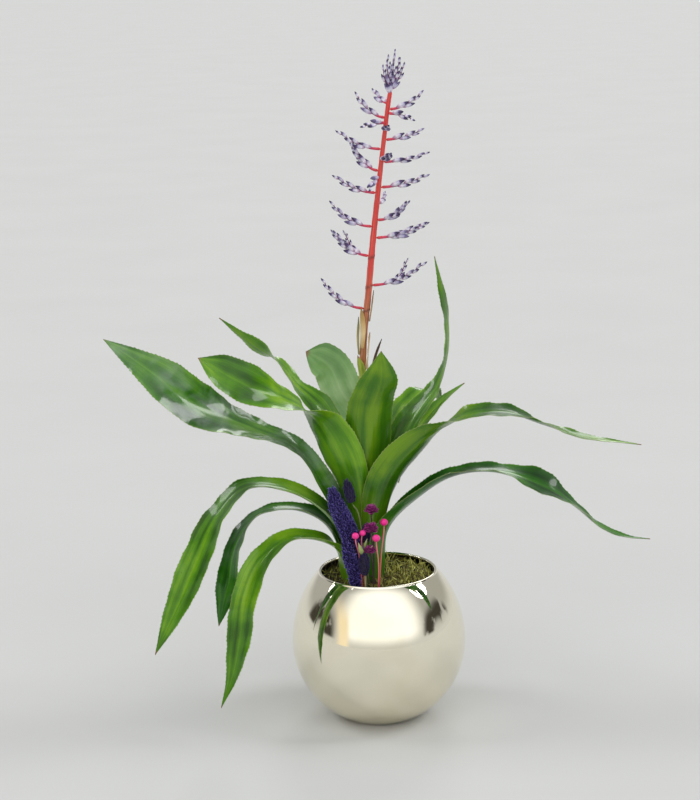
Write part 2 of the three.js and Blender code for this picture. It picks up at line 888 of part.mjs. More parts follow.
// Rows are [x, y, z, radius] from the foot up, except that the first is [x, y, radius]: the foot of
// each stands on the moss, at the moss's own height there.
const ACCENTS = [
  {
    name: "plume_large",
    color: COLORS.plume,
    sides: 8,
    steps: 8,
    rows: [
      [-19, -42, 4],
      [-26, -44, 214, 9],
      [-37, -47, 246, 10.5],
      [-45, -48, 266, 8],
      [-48, -48, 279, 2],
    ],
  },
  {
    name: "plume_small",
    color: COLORS.plume,
    sides: 8,
    steps: 6,
    rows: [
      [-24, -51, 3],
      [-27, -55, 190, 5.5],
      [-31, -57, 206, 6.5],
      [-36, -58, 224, 1.5],
    ],
  },
  {
    name: "seed_head",
    color: COLORS.dark,
    sides: 6,
    steps: 14,
    rows: [
      [-9, -32, 1.2],
      [-17, -36, 225, 1.2],
      [-22, -46, 258, 1.2],
      [-27, -56, 269, 3.5],
      [-30, -56, 281, 6],
      [-33, -56, 293, 2.5],
    ],
  },
  {
    name: "globe_flower_upper",
    color: COLORS.globe,
    sides: 8,
    steps: 14,
    rows: [
      [-4, -38, 1.2],
      [-4, -40, 219, 1.2],
      [-6, -48, 252, 1.2],
      [-6, -50, 258, 6],
      [-6, -51, 265, 7],
      [-6, -52, 270, 2.5],
    ],
  },
  {
    name: "globe_flower_middle",
    color: COLORS.globe,
    sides: 8,
    steps: 12,
    rows: [
      [-4, -44, 1.2],
      [-5, -50, 215, 1.2],
      [-7, -56, 234, 1.2],
      [-7, -57, 239, 6],
      [-7, -58, 245, 7],
      [-7, -59, 250, 2.5],
    ],
  },
  {
    name: "globe_flower_lower",
    color: COLORS.globe,
    sides: 8,
    steps: 9,
    rows: [
      [-5, -51, 1.2],
      [-7, -57, 208, 1.2],
      [-8, -62, 213, 5],
      [-8, -63, 219, 6],
      [-8, -64, 224, 2],
    ],
  },
  {
    name: "dark_bud",
    color: COLORS.dark,
    sides: 6,
    steps: 9,
    rows: [
      [-12, -44, 1.2],
      [-14, -46, 212, 1.2],
      [-14, -47, 220, 4.5],
      [-13, -48, 230, 5],
      [-12, -48, 238, 2],
    ],
  },
  {
    name: "indigo_head",
    color: COLORS.dark,
    sides: 8,
    steps: 7,
    rows: [
      [-13, -54, 1.4],
      [-14, -60, 186, 1.6],
      [-15, -62, 194, 6],
      [-15, -63, 202, 6.5],
      [-15, -62, 210, 2.5],
    ],
  },
  {
    name: "pink_ball_left",
    color: COLORS.pink,
    sides: 6,
    steps: 12,
    rows: [
      [-17, -50, 0.9],
      [-21, -58, 212, 0.9],
      [-24, -66, 229, 0.9],
      [-24, -67, 233, 3.8],
      [-24, -67, 237, 3],
      [-24, -67, 239, 1],
    ],
  },
  {
    name: "pink_ball_back",
    color: COLORS.pink,
    sides: 6,
    steps: 12,
    rows: [
      [-14, -49, 0.9],
      [-17, -54, 212, 0.9],
      [-17, -61, 231, 0.9],
      [-16, -63, 235, 3.2],
      [-16, -63, 239, 2.5],
      [-16, -63, 241, 1],
    ],
  },
  {
    name: "pink_ball_front",
    color: COLORS.pink,
    sides: 6,
    steps: 12,
    rows: [
      [0, -56, 0.9],
      [1, -61, 203, 0.9],
      [-1, -66, 226, 0.9],
      [-1, -67, 230, 4.2],
      [-1, -67, 235, 3],
      [-1, -67, 237, 1],
    ],
  },
  {
    name: "pink_ball_right",
    color: COLORS.pink,
    sides: 6,
    steps: 12,
    rows: [
      [1, -48, 0.9],
      [5, -52, 214, 0.9],
      [8, -56, 241, 0.9],
      [8, -56, 245, 4],
      [8, -56, 249, 3.5],
      [8, -56, 252, 1],
    ],
  },
];

function makeAccents() {
  for (const accent of ACCENTS) {
    const [[x, y, radius], ...upper] = accent.rows;
    const foot = [x, y, mossHeightAt(x, y) + FOOT_LIFT, radius];
    const rod = taperedRod([foot, ...upper], accent.sides, accent.steps);
    addPiece(accent.name, rod, accent.color, 0.7);
  }
}

makeVase();
makeFill();
makeLeaves();
makeStem();
makeBracts();
makeSpikes();
makeTuft();
makeAccents();

export default root;
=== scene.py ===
"""A flowering bromeliad in a mirror-silvered bowl vase, with moss and dried accents.

Lengths in the tables are millimetres and everything in the scene is metres. +Z is up, +X is to
the right and +Y is away from the front. The origin is the centre of the vase's flat base.
"""

from __future__ import annotations

import logging
import math
from dataclasses import dataclass, field
from enum import Enum
from typing import Callable, Sequence

import bpy
import numpy as np
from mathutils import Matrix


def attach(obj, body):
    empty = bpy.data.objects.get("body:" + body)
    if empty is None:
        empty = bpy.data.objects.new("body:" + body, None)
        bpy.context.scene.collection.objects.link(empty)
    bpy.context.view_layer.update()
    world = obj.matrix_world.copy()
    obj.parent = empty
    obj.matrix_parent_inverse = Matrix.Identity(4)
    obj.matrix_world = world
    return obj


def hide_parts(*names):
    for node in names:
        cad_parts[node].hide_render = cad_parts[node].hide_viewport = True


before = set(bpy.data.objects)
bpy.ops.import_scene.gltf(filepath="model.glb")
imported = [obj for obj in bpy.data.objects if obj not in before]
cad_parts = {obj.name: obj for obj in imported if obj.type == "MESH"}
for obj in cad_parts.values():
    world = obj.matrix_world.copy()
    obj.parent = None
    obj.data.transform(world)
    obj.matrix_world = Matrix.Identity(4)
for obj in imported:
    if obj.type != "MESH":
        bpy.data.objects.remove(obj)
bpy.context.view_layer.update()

MM = 0.001
BODY = "root"
SEAM = 1e-5  # points closer than this are one point
SMOOTH_ANGLE = math.radians(50)
FULL_TURN = 2 * math.pi
GOLDEN_TURN = math.pi * (3 - math.sqrt(5))
ROSETTE_CENTRE = (-14, 0)  # where the crown and the stem stand, in millimetres
STALK_STEPS = 60  # how finely a stalk is measured to place its buds
CORE_STEPS = 120  # how finely a head is measured to place its flakes

Array = np.ndarray
Piece = bpy.types.Object
Material = bpy.types.Material
Socket = bpy.types.NodeSocket
Colour = tuple[float, float, float]
Place = tuple[float, float, float]
Limits = tuple[float, float]
Rows = Sequence[Sequence[float]]
Stops = Sequence[tuple[float, Colour]]  # places from 0 to 1, each with its colour

log = logging.getLogger("bromeliad")


# ---- curves


class SmoothLine:
    """A smooth curve through rows that start with x, y and z.

    The values after x, y and z stay between those of the two rows beside them.
    """

    def __init__(self, rows: Rows) -> None:
        """Works out the slope of the curve at each row.

        Args:
            rows: At least two rows, all of one length.
        """
        self.rows = np.array(rows, float)
        self.steps = np.linalg.norm(np.diff(self.rows[:, :3], axis=0), axis=1)
        slopes = np.diff(self.rows, axis=0) / self.steps[:, None]
        behind = np.vstack([slopes[:1], slopes])
        ahead = np.vstack([slopes, slopes[-1:]])
        length_behind = np.concatenate([self.steps[:1], self.steps])[:, None]
        length_ahead = np.concatenate([self.steps, self.steps[-1:]])[:, None]
        weighed = behind * length_ahead + ahead * length_behind
        self.slopes = weighed / (length_ahead + length_behind)

    def at(self, shares: Array) -> Array:
        """The rows at some shares of the way through the table.

        Args:
            shares: Places from 0 to 1.

        Returns:
            One row for each share.
        """
        last = len(self.rows) - 1
        place = np.minimum(np.asarray(shares, float) * last, last - 1e-9)
        index = place.astype(int)
        u = (place - index)[:, None]
        start, stop = self.rows[index], self.rows[index + 1]
        span = self.steps[index][:, None]
        curved = (
            (2 * u**3 - 3 * u**2 + 1) * start
            + (u**3 - 2 * u**2 + u) * span * self.slopes[index]
            + (3 * u**2 - 2 * u**3) * stop
            + (u**3 - u**2) * span * self.slopes[index + 1]
        )
        held = np.clip(curved, np.minimum(start, stop), np.maximum(start, stop))
        return np.hstack([curved[:, :3], held[:, 3:]])

    def evenly(self, count: int) -> Array:
        """Rows at equal distances along the curve.

        Args:
            count: How many rows.

        Returns:
            The rows, from the first to the last.
        """
        fine = np.linspace(0, 1, 1201)
        points = self.at(fine)[:, :3]
        lengths = np.concatenate([[0], np.cumsum(np.linalg.norm(np.diff(points, axis=0), axis=1))])
        return self.at(np.interp(np.linspace(0, lengths[-1], count), lengths, fine))


def unit(vectors: Array) -> Array:
    """Vectors at length one."""
    return vectors / np.maximum(np.linalg.norm(vectors, axis=-1, keepdims=True), 1e-12)


def turned(first: Array, second: Array, angles: Array) -> Array:
    """Directions at some angles from the first towards the second, which is square to it."""
    return first * np.cos(angles)[:, None] + second * np.sin(angles)[:, None]


def directions(points: Array) -> Array:
    """Unit directions along a line of points."""
    return unit(np.gradient(points, axis=0))


def length_of(points: Array) -> float:
    """The length of a line of points."""
    return float(np.linalg.norm(np.diff(points, axis=0), axis=1).sum())


def carried_sides(along: Array) -> tuple[Array, Array]:
    """Two directions square to a line that follow it without twisting.

    Args:
        along: Unit directions of the line, one for each row.

    Returns:
        A side direction and the direction square to both, one for each row.
    """
    side = np.array([1.0, 0.31, 0.17])
    sides = []
    for step in along:
        side = unit(side - step * (side @ step))
        sides.append(side)
    first = np.array(sides)
    return first, np.cross(along, first)


def facing_turns(axes: Array, spins: Array) -> Array:
    """Turns that point a copy's own +Z along an axis.

    Args:
        axes: The directions to point in, one for each copy.
        spins: The angle about that axis, one for each copy.

    Returns:
        One 3 by 3 matrix for each copy, whose columns are its turned x, y and z.
    """
    axes = unit(axes)
    helper = np.where(np.abs(axes[:, 2:]) < 0.9, [[0.0, 0.0, 1.0]], [[1.0, 0.0, 0.0]])
    x = unit(np.cross(helper, axes))
    y = np.cross(axes, x)
    cos, sin = np.cos(spins)[:, None], np.sin(spins)[:, None]
    return np.stack([x * cos + y * sin, y * cos - x * sin, axes], axis=2)


# ---- mesh tools


def clear_selection() -> None:
    """Leaves edit mode and deselects everything."""
    if bpy.context.object and bpy.context.object.mode != "OBJECT":
        bpy.ops.object.mode_set(mode="OBJECT")
    bpy.ops.object.select_all(action="DESELECT")


def make_active(piece: Piece) -> None:
    """Selects one object alone.

    Args:
        piece: The object.
    """
    clear_selection()
    piece.select_set(True)
    bpy.context.view_layer.objects.active = piece


def points_of(piece: Piece) -> Array:
    """The places of a mesh's points.

    Args:
        piece: The mesh's object.

    Returns:
        One row of x, y and z for each point.
    """
    flat = np.zeros(len(piece.data.vertices) * 3, np.float32)
    piece.data.vertices.foreach_get("co", flat)
    return flat.reshape(-1, 3).astype(float)


def set_points(piece: Piece, points: Array) -> None:
    """Moves a mesh's points."""
    piece.data.vertices.foreach_set("co", points.astype(np.float32).ravel())
    piece.data.update()


def mark(piece: Piece, name: str, values: Array) -> None:
    """Writes a number on each point of a mesh, for its finish to read."""
    layer = piece.data.attributes.get(name) or piece.data.attributes.new(name, "FLOAT", "POINT")
    layer.data.foreach_set("value", np.asarray(values, np.float32))


def laid_sheet(name: str, across: int, along: int, lay: Callable[[Array, Array], Array]) -> Piece:
    """A grid whose points are laid out by a rule.

    Args:
        name: The piece's name.
        across: How many faces across.
        along: How many faces along.
        lay: Gives the places, in metres, for shares across and shares along.

    Returns:
        The sheet, with its share along marked on its points.
    """
    clear_selection()
    bpy.ops.mesh.primitive_grid_add(x_subdivisions=across, y_subdivisions=along, size=1.0)
    sheet = bpy.context.object
    sheet.name = sheet.data.name = name
    shares = points_of(sheet)[:, :2] + 0.5
    set_points(sheet, lay(shares[:, 0], shares[:, 1]))
    mark(sheet, "along", shares[:, 1])
    mark(sheet, "pick", np.full(len(shares), 0.5))
    return sheet


def weld(piece: Piece) -> None:
    """Closes a mesh's seams and poles and turns its faces outwards.

    Args:
        piece: The mesh's object.
    """
    make_active(piece)
    bpy.ops.object.mode_set(mode="EDIT")
    bpy.ops.mesh.select_all(action="SELECT")
    bpy.ops.mesh.remove_doubles(threshold=SEAM)
    bpy.ops.mesh.dissolve_degenerate(threshold=SEAM)
    bpy.ops.mesh.normals_make_consistent(inside=False)
    bpy.ops.object.mode_set(mode="OBJECT")


def rolled_rod(
    name: str,
    rows: Rows,
    sides: int,
    steps: int,
    swell: Callable[[Array, Array], Array] | None = None,
) -> Piece:
    """A round rod of changing radius, rolled up from a sheet.

    Args:
        name: The piece's name.
        rows: Its centre line in rows of x, y, z and radius, in millimetres.
        sides: How many faces go round it.
        steps: How many faces go along it.
        swell: A factor on the radius, from the angle in turns and the share along.

    Returns:
        The closed rod.
    """
    line = SmoothLine(rows).evenly(steps + 1)
    centre, radius = line[:, :3], line[:, 3].copy()
    radius[0] = radius[-1] = 0
    side, up = carried_sides(directions(centre))

    def lay(turn: Array, share: Array) -> Array:
        """Places on the rod.

        Args:
            turn: Shares of a turn round the centre line.
            share: Shares of the way along it.

        Returns:
            The places, in metres.
        """
        row = np.rint(share * steps).astype(int)
        angle = FULL_TURN * turn
        reach = radius[row] * (1 if swell is None else swell(turn, share))
        around = turned(side[row], up[row], angle)
        return (centre[row] + around * reach[:, None]) * MM

    rod = laid_sheet(name, sides, steps, lay)
    weld(rod)
    return rod


def repeated(
    name: str, pattern: Piece, origins: Array, turns: Array, sizes: Array, picks: Array
) -> Piece:
    """One mesh that holds a copy of a pattern piece at each place.

    Args:
        name: The new piece's name.
        pattern: The piece to copy, made about the origin.
        origins: Where each copy's origin goes, in metres.
        turns: How each copy is turned, as 3 by 3 matrices.
        sizes: The scale of each copy, as one number or three.
        picks: A number from 0 to 1 for each copy, which varies its colour.

    Returns:
        The new piece, with the pattern's marks and its UV map.
    """
    mesh, count = pattern.data, len(origins)
    scales = np.asarray(sizes, float)
    scales = np.repeat(scales[:, None], 3, axis=1) if scales.ndim == 1 else scales
    points = points_of(pattern)
    placed = np.einsum("nij,nvj->nvi", turns, points[None] * scales[:, None]) + origins[:, None]
    faces = [list(face.vertices) for face in mesh.polygons]
    size = len(points)
    made = bpy.data.meshes.new(name)
    every_face = [[i + size * n for i in face] for n in range(count) for face in faces]
    made.from_pydata(placed.reshape(-1, 3).tolist(), [], every_face)
    piece = bpy.data.objects.new(name, made)
    bpy.context.scene.collection.objects.link(piece)
    along = np.zeros(size, np.float32)
    mesh.attributes["along"].data.foreach_get("value", along)
    mark(piece, "along", np.tile(along, count))
    mark(piece, "pick", np.repeat(picks, size))
    uv = np.zeros(len(mesh.loops) * 2, np.float32)
    mesh.uv_layers[0].data.foreach_get("uv", uv)
    made.uv_layers.new(name=mesh.uv_layers[0].name).data.foreach_set("uv", np.tile(uv, count))
    return piece


def joined(name: str, parts: Sequence[Piece]) -> Piece:
    """Joins finished parts into one piece.

    Args:
        name: The piece's name.
        parts: The parts, each with its finish.

    Returns:
        The joined piece.
    """
    clear_selection()
    for part in parts:
        part.select_set(True)
    bpy.context.view_layer.objects.active = parts[0]
    if len(parts) > 1:
        bpy.ops.object.join()
    parts[0].name = parts[0].data.name = name
    return parts[0]


def dressed(piece: Piece, *finishes: Material) -> Piece:
    """Gives a piece its finishes.

    Args:
        piece: The piece.
        *finishes: Its finishes, in the order of its material slots.

    Returns:
        The piece.
    """
    piece.data.materials.clear()
    for finish in finishes:
        piece.data.materials.append(finish)
    return piece


def settled(
    piece: Piece, nodes: Sequence[str] = (), angle: float = SMOOTH_ANGLE
) -> Piece:
    """Shades a finished piece, hangs it on the body and hides the CAD nodes that it replaces.

    Args:
        piece: The piece.
        nodes: The CAD nodes that it replaces.
        angle: Edges sharper than this stay sharp.

    Returns:
        The piece.
    """
    make_active(piece)
    bpy.ops.object.shade_smooth_by_angle(angle=angle)
    clear_selection()
    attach(piece, BODY)
    if nodes:
        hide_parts(*nodes)
    log.info("%s: %d faces", piece.name, len(piece.data.polygons))
    return piece


# ---- finishes


class NodeMixer:
    """Adds shader nodes to a tree, one at a time."""

    def __init__(self, tree: bpy.types.NodeTree) -> None:
        """Takes the tree."""
        self.tree = tree

    def node(self, kind: str, inputs: dict, **settings: object) -> bpy.types.Node:
        """Adds a node.

        Args:
            kind: The node's type.
            inputs: A value or a linked socket for each named or numbered input.
            **settings: The node's own settings.

        Returns:
            The node.
        """
        made = self.tree.nodes.new(kind)
        for key, value in settings.items():
            setattr(made, key, value)
        for key, value in inputs.items():
            self.feed(made.inputs[key], value)
        return made

    def feed(self, socket: Socket, value: object) -> None:
        """Links a socket, or sets its value.

        Args:
            socket: The socket.
            value: Another socket, a number, a vector or a colour.
        """
        if isinstance(value, Socket):
            self.tree.links.new(value, socket)
        elif isinstance(value, tuple) and socket.type == "RGBA":
            socket.default_value = (*value, 1.0)
        else:
            socket.default_value = value

    def part_of(self, vector: Socket, axis: str) -> Socket:
        """One coordinate of a vector."""
        return self.node("ShaderNodeSeparateXYZ", {0: vector}).outputs[axis]

    def noise(self, place: Socket, scale: float, detail: float = 4, bend: float = 0) -> Socket:
        """Soft noise from 0 to 1."""
        inputs = {"Vector": place, "Scale": scale, "Detail": detail, "Distortion": bend}
        return self.node("ShaderNodeTexNoise", inputs).outputs["Fac"]

    def sum(self, how: str, first: object, second: object = 0.0) -> Socket:
        """One step of arithmetic on two numbers."""
        return self.node("ShaderNodeMath", {0: first, 1: second}, operation=how).outputs[0]

    def times(self, first: object, second: object) -> Socket:
        """The product of two numbers."""
        return self.sum("MULTIPLY", first, second)

    def plus(self, first: object, second: object) -> Socket:
        """The sum of two numbers."""
        return self.sum("ADD", first, second)

    def spread(
        self, value: object, low: float, high: float, to_low: float = 0, to_high: float = 1
    ) -> Socket:
        """Maps one range of a number smoothly to another and holds it there."""
        inputs = {"Value": value, 1: low, 2: high, 3: to_low, 4: to_high}
        return self.node("ShaderNodeMapRange", inputs, interpolation_type="SMOOTHSTEP").outputs[0]

    def within(self, *steps: tuple[object, tuple[float, float]]) -> Socket:
        """The product of several soft steps.

        Args:
            *steps: A number and the two limits between which it goes from 0 to 1.

        Returns:
            A number that is 1 only where all steps are past.
        """
        whole = self.spread(steps[0][0], *steps[0][1])
        for value, limits in steps[1:]:
            whole = self.times(whole, self.spread(value, *limits))
        return whole

    def blend(self, share: object, first: object, second: object, how: str = "MIX") -> Socket:
        """Mixes two colours by a share."""
        inputs = {0: share, 6: first, 7: second}
        return self.node("ShaderNodeMix", inputs, data_type="RGBA", blend_type=how).outputs[2]


class Paint(NodeMixer):
    """Mixes one material."""

    def __init__(self, name: str) -> None:
        """Starts a material with an empty shader.

        Args:
            name: The material's name.
        """
        self.material = bpy.data.materials.new(name)
        self.material.use_nodes = True
        super().__init__(self.material.node_tree)
        self.shader = self.tree.nodes["Principled BSDF"]

    def space(self, stretch: Sequence[float] = (1, 1, 1)) -> Socket:
        """Coordinates in metres that stay with the object, stretched."""
        place = self.node("ShaderNodeTexCoord", {}).outputs["Object"]
        return self.node("ShaderNodeMapping", {"Vector": place, "Scale": stretch}).outputs[0]

    def surface(self, stretch: Sequence[float] = (1, 1, 1)) -> Socket:
        """Coordinates across and along the piece's own surface, stretched."""
        place = self.node("ShaderNodeUVMap", {}, uv_map="UVMap").outputs[0]
        return self.node("ShaderNodeMapping", {"Vector": place, "Scale": stretch}).outputs[0]

    def mark(self, name: str) -> Socket:
        """The number that is marked on the piece's points."""
        return self.node("ShaderNodeAttribute", {}, attribute_name=name).outputs["Fac"]

    def cells(self, place: Socket, scale: float) -> Socket:
        """Distance to the nearest of many scattered points."""
        return self.node("ShaderNodeTexVoronoi", {"Vector": place, "Scale": scale}).outputs[0]

    def ramp(self, value: object, stops: Stops) -> Socket:
        """Turns a number into a colour.

        Args:
            value: The number, from 0 to 1.
            stops: Places and their colours, in order.

        Returns:
            The colour.
        """
        made = self.node("ShaderNodeValToRGB", {0: value})
        bar = made.color_ramp.elements
        while len(bar) < len(stops):
            bar.new(1.0)
        for element, (place, colour) in zip(bar, stops):
            element.position = place
            element.color = (*colour, 1.0)
        return made.outputs[0]

    def relief(self, height: object, strength: float, depth: float) -> Socket:
        """A bumped normal from a height."""
        inputs = {"Height": height, "Strength": strength, "Distance": depth}
        return self.node("ShaderNodeBump", inputs).outputs[0]

    def finish(self, **sockets: object) -> Material:
        """Sets the shader's sockets.

        Args:
            **sockets: A value or link for each socket, with _ for each space of its name.

        Returns:
            The material.
        """
        for key, value in sockets.items():
            self.feed(self.shader.inputs[key.replace("_", " ")], value)
        return self.material


@dataclass(frozen=True)
class LeafFinish:
    """One face of a fresh strap leaf: veined, mottled, with a dry tip, a thin pale margin and,
    where its share is set, whitish patches of painted sheen.
    """

    name: str
    dark: Colour
    middle: Colour
    light: Colour
    # The colour and share of the whitish patches of painted sheen.
    painted_sheen: Colour = (0.42, 0.50, 0.44)
    painted_sheen_share: float = 0.0
    roughness: float = 0.27
    margin: Colour = (0.34, 0.40, 0.13)
    dry: Colour = (0.10, 0.05, 0.022)
    dry_veins: Colour = (0.33, 0.21, 0.10)
    tip_start: float = 0.984
    coat: float = 0.45

    def make(self) -> Material:
        """Mixes the material.

        Returns:
            The material.
        """
        paint = Paint(self.name)
        across = paint.part_of(paint.surface(), "X")
        along = paint.mark("along")
        veins = paint.noise(paint.surface((150, 1.2, 1)), 1.0, 3)
        broad = paint.noise(paint.surface((4.5, 2.2, 1)), 1.0, 4, 0.4)
        patches = paint.noise(paint.space(), 15, 4, 0.3)
        tone = paint.plus(paint.times(veins, 0.15), paint.times(broad, 0.35))
        tone = paint.plus(tone, paint.times(patches, 0.50))
        colour = paint.ramp(tone, [(0.40, self.dark), (0.50, self.middle), (0.595, self.light)])
        from_middle = paint.sum("ABSOLUTE", paint.sum("SUBTRACT", across, 0.5))
        band = paint.spread(from_middle, 0.0, 0.10, 0.10, 0.0)
        colour = paint.blend(band, colour, self.light)
        # Painted sheen: whitish patches that stand in for the glossy reflection of light on the
        # leaf.
        sheen_patches = paint.noise(paint.space(), 34, 6, 0.6)
        painted_sheen = paint.spread(sheen_patches, 0.40, 0.75, 0.0, self.painted_sheen_share * 3)
        colour = paint.blend(painted_sheen, colour, self.painted_sheen)
        margin = paint.spread(from_middle, 0.482, 0.497, 0.0, 0.62)
        colour = paint.blend(margin, colour, self.margin)
        root = paint.spread(along, 0.04, 0.30, 0.40, 0.0)
        colour = paint.blend(root, colour, self.light)
        specks = paint.spread(paint.noise(paint.space(), 420, 2), 0.70, 0.78, 0.0, 0.5)
        colour = paint.blend(specks, colour, self.dark)
        ragged = paint.sum("SUBTRACT", paint.noise(paint.space(), 110, 4), 0.5)
        place = paint.plus(along, paint.times(ragged, 0.045))
        dryness = paint.spread(place, self.tip_start, self.tip_start + 0.016)
        colour = paint.blend(dryness, colour, paint.blend(veins, self.dry, self.dry_veins))
        roughness = paint.spread(tone, 0.3, 0.7, self.roughness + 0.09, self.roughness - 0.05)
        height = paint.plus(paint.times(veins, 0.8), paint.times(patches, 0.5))
        return paint.finish(
            Base_Color=colour,
            Roughness=roughness,
            Normal=paint.relief(height, 0.16, 0.0010),
            Specular_IOR_Level=0.16,
            Coat_Weight=self.coat,
            Coat_Roughness=0.10,
            Subsurface_Weight=0.06,
            Subsurface_Radius=(0.35, 1.0, 0.12),
            Subsurface_Scale=0.0012,
        )


@dataclass(frozen=True)
class SilverFinish:
    """Mirror-silvered glass with a warm tint, a faint unevenness and a painted warm reflection
    towards its foot.
    """

    name: str = "silvered_glass"
    bright: Colour = (0.91, 0.865, 0.715)
    warm: Colour = (0.82, 0.76, 0.56)
    speck: Colour = (0.42, 0.38, 0.30)
    roughness: float = 0.03

    def make(self) -> Material:
        """Mixes the material.

        Returns:
            The material.
        """
        paint = Paint(self.name)
        clouds = paint.noise(paint.space(), 14, 5, 0.4)
        wipes = paint.noise(paint.space((30, 30, 160)), 1.0, 3)
        height = paint.part_of(paint.space(), "Z")
        # Painted reflection: the lower part is warmed towards its foot, standing in for the warm
        # surface the mirror would show there.
        foot = paint.spread(height, 0.0, 0.06, 0.45, 0.0)
        colour = paint.blend(paint.spread(clouds, 0.42, 0.72, 0.0, 0.5), self.bright, self.warm)
        colour = paint.blend(foot, colour, self.warm)
        specks = paint.spread(paint.cells(paint.space(), 260), 0.0, 0.055, 0.30, 0.0)
        colour = paint.blend(specks, colour, self.speck)
        roughness = paint.spread(wipes, 0.35, 0.75, self.roughness, self.roughness + 0.05)
        return paint.finish(
            Base_Color=colour,
            Metallic=1.0,
            Roughness=roughness,
            Normal=paint.relief(clouds, 0.03, 0.002),
            Coat_Weight=0.1,
            Coat_Roughness=0.02,
        )


@dataclass(frozen=True)
class LiningFinish:
    """A near-black, dull metal finish for the inside of the mouth, far darker than the outside."""

    name: str = "silvered_glass_inside"

    def make(self) -> Material:
        """Mixes the material.

        Returns:
            The material.
        """
        paint = Paint(self.name)
        stains = paint.noise(paint.space((1, 1, 0.4)), 60, 5, 0.5)
        colour = paint.ramp(stains, [(0.3, (0.035, 0.036, 0.04)), (0.7, (0.11, 0.11, 0.115))])
        roughness = paint.spread(stains, 0.3, 0.7, 0.20, 0.38)
        return paint.finish(
            Base_Color=colour,
            Metallic=0.9,
            Roughness=roughness,
            Normal=paint.relief(stains, 0.1, 0.001),
        )


@dataclass(frozen=True)
class FibreFinish:
    """Moss, root or mix: colours picked for each strand, darker at its foot."""

    name: str
    stops: Stops
    foot: Colour
    roughness: float = 0.85
    grain: float = 900

    def make(self) -> Material:
        """Mixes the material.

        Returns:
            The material.
        """
        paint = Paint(self.name)
        patches = paint.noise(paint.space(), 48, 4, 0.3)
        pick = paint.times(paint.plus(patches, paint.mark("pick")), 0.5)
        colour = paint.ramp(pick, self.stops)
        shade = paint.spread(paint.mark("along"), 0.0, 0.6, 0.7, 0.0)
        colour = paint.blend(shade, colour, self.foot)
        grain = paint.noise(paint.space(), self.grain, 3)
        colour = paint.blend(paint.spread(grain, 0.35, 0.7, 0.0, 0.35), colour, self.foot)
        return paint.finish(
            Base_Color=colour,
            Roughness=self.roughness,
            Normal=paint.relief(grain, 0.6, 0.0006),
            Sheen_Weight=0.15,
        )


@dataclass(frozen=True)
class SoilFinish:
    """Damp, crumbly mix or root stock."""

    name: str
    dark: Colour
    light: Colour
    crumbs: float = 320

    def make(self) -> Material:
        """Mixes the material.

        Returns:
            The material.
        """
        paint = Paint(self.name)
        crumbs = paint.cells(paint.space(), self.crumbs)
        clods = paint.noise(paint.space(), 70, 6, 0.5)
        colour = paint.ramp(clods, [(0.35, self.dark), (0.72, self.light)])
        colour = paint.blend(paint.spread(crumbs, 0.1, 0.6, 0.0, 0.5), colour, self.dark)
        height = paint.plus(crumbs, clods)
        return paint.finish(
            Base_Color=colour,
            Roughness=paint.spread(clods, 0.3, 0.7, 0.95, 0.7),
            Normal=paint.relief(height, 0.8, 0.002),
        )


@dataclass(frozen=True)
class StemFinish:
    """The waxy flower stem: orange-brown at the foot and coral red above."""

    name: str = "flower_stem"
    low: float = 0.46
    high: float = 0.53
    coral: Stops = (
        (0.3, (0.50, 0.03, 0.03)), (0.52, (0.68, 0.055, 0.045)), (0.75, (0.80, 0.14, 0.10)),
    )
    tan: Stops = (
        (0.3, (0.30, 0.10, 0.04)), (0.55, (0.52, 0.20, 0.09)), (0.75, (0.66, 0.33, 0.16)),
    )
    ring: Colour = (0.14, 0.03, 0.02)
    fleck: Colour = (0.90, 0.42, 0.30)

    def make(self) -> Material:
        """Mixes the material.

        Returns:
            The material.
        """
        paint = Paint(self.name)
        height = paint.part_of(paint.space(), "Z")
        streaks = paint.noise(paint.surface((26, 9, 1)), 1.0, 4, 0.3)
        flecks = paint.noise(paint.space(), 260, 3)
        uneven = paint.times(paint.sum("SUBTRACT", streaks, 0.5), 0.03)
        share = paint.spread(paint.plus(height, uneven), self.low, self.high)
        tan, coral = paint.ramp(streaks, self.tan), paint.ramp(streaks, self.coral)
        colour = paint.blend(share, tan, coral)
        colour = paint.blend(paint.mark("ring"), colour, self.ring)
        colour = paint.blend(paint.spread(flecks, 0.62, 0.8, 0.0, 0.5), colour, self.fleck)
        return paint.finish(
            Base_Color=colour,
            Roughness=paint.spread(streaks, 0.3, 0.7, 0.48, 0.34),
            Normal=paint.relief(streaks, 0.25, 0.0008),
            Subsurface_Weight=0.08,
            Subsurface_Radius=(1.0, 0.3, 0.2),
            Subsurface_Scale=0.002,
        )


@dataclass(frozen=True)
class TissueFinish:
    """A small plant part, coloured from its foot to its tip, with a shift picked for each copy."""

    name: str
    stops: Stops
    other: Colour
    other_share: float = 0.5
    roughness: float = 0.5
    grain: float = 700
    depth: float = 0.0004
    sheen: float = 0.0

    def make(self) -> Material:
        """Mixes the material.

        Returns:
            The material.
        """
        paint = Paint(self.name)
        grain = paint.noise(paint.space(), self.grain, 3)
        ribs = paint.noise(paint.surface((18, 2, 1)), 1.0, 2)
        wobble = paint.times(paint.sum("SUBTRACT", grain, 0.5), 0.16)
        place = paint.plus(paint.mark("along"), wobble)
        colour = paint.ramp(place, self.stops)
        shift = paint.spread(paint.mark("pick"), 0.45, 1.0, 0.0, self.other_share)
        colour = paint.blend(shift, colour, self.other)
        colour = paint.blend(paint.spread(ribs, 0.3, 0.7, 0.30, 0.0), colour, colour, "MULTIPLY")
        height = paint.plus(grain, ribs)
        return paint.finish(
            Base_Color=colour,
            Roughness=paint.spread(grain, 0.3, 0.7, self.roughness + 0.1, self.roughness - 0.08),
            Normal=paint.relief(height, 0.4, self.depth),
            Sheen_Weight=self.sheen,
        )


# ---- studio


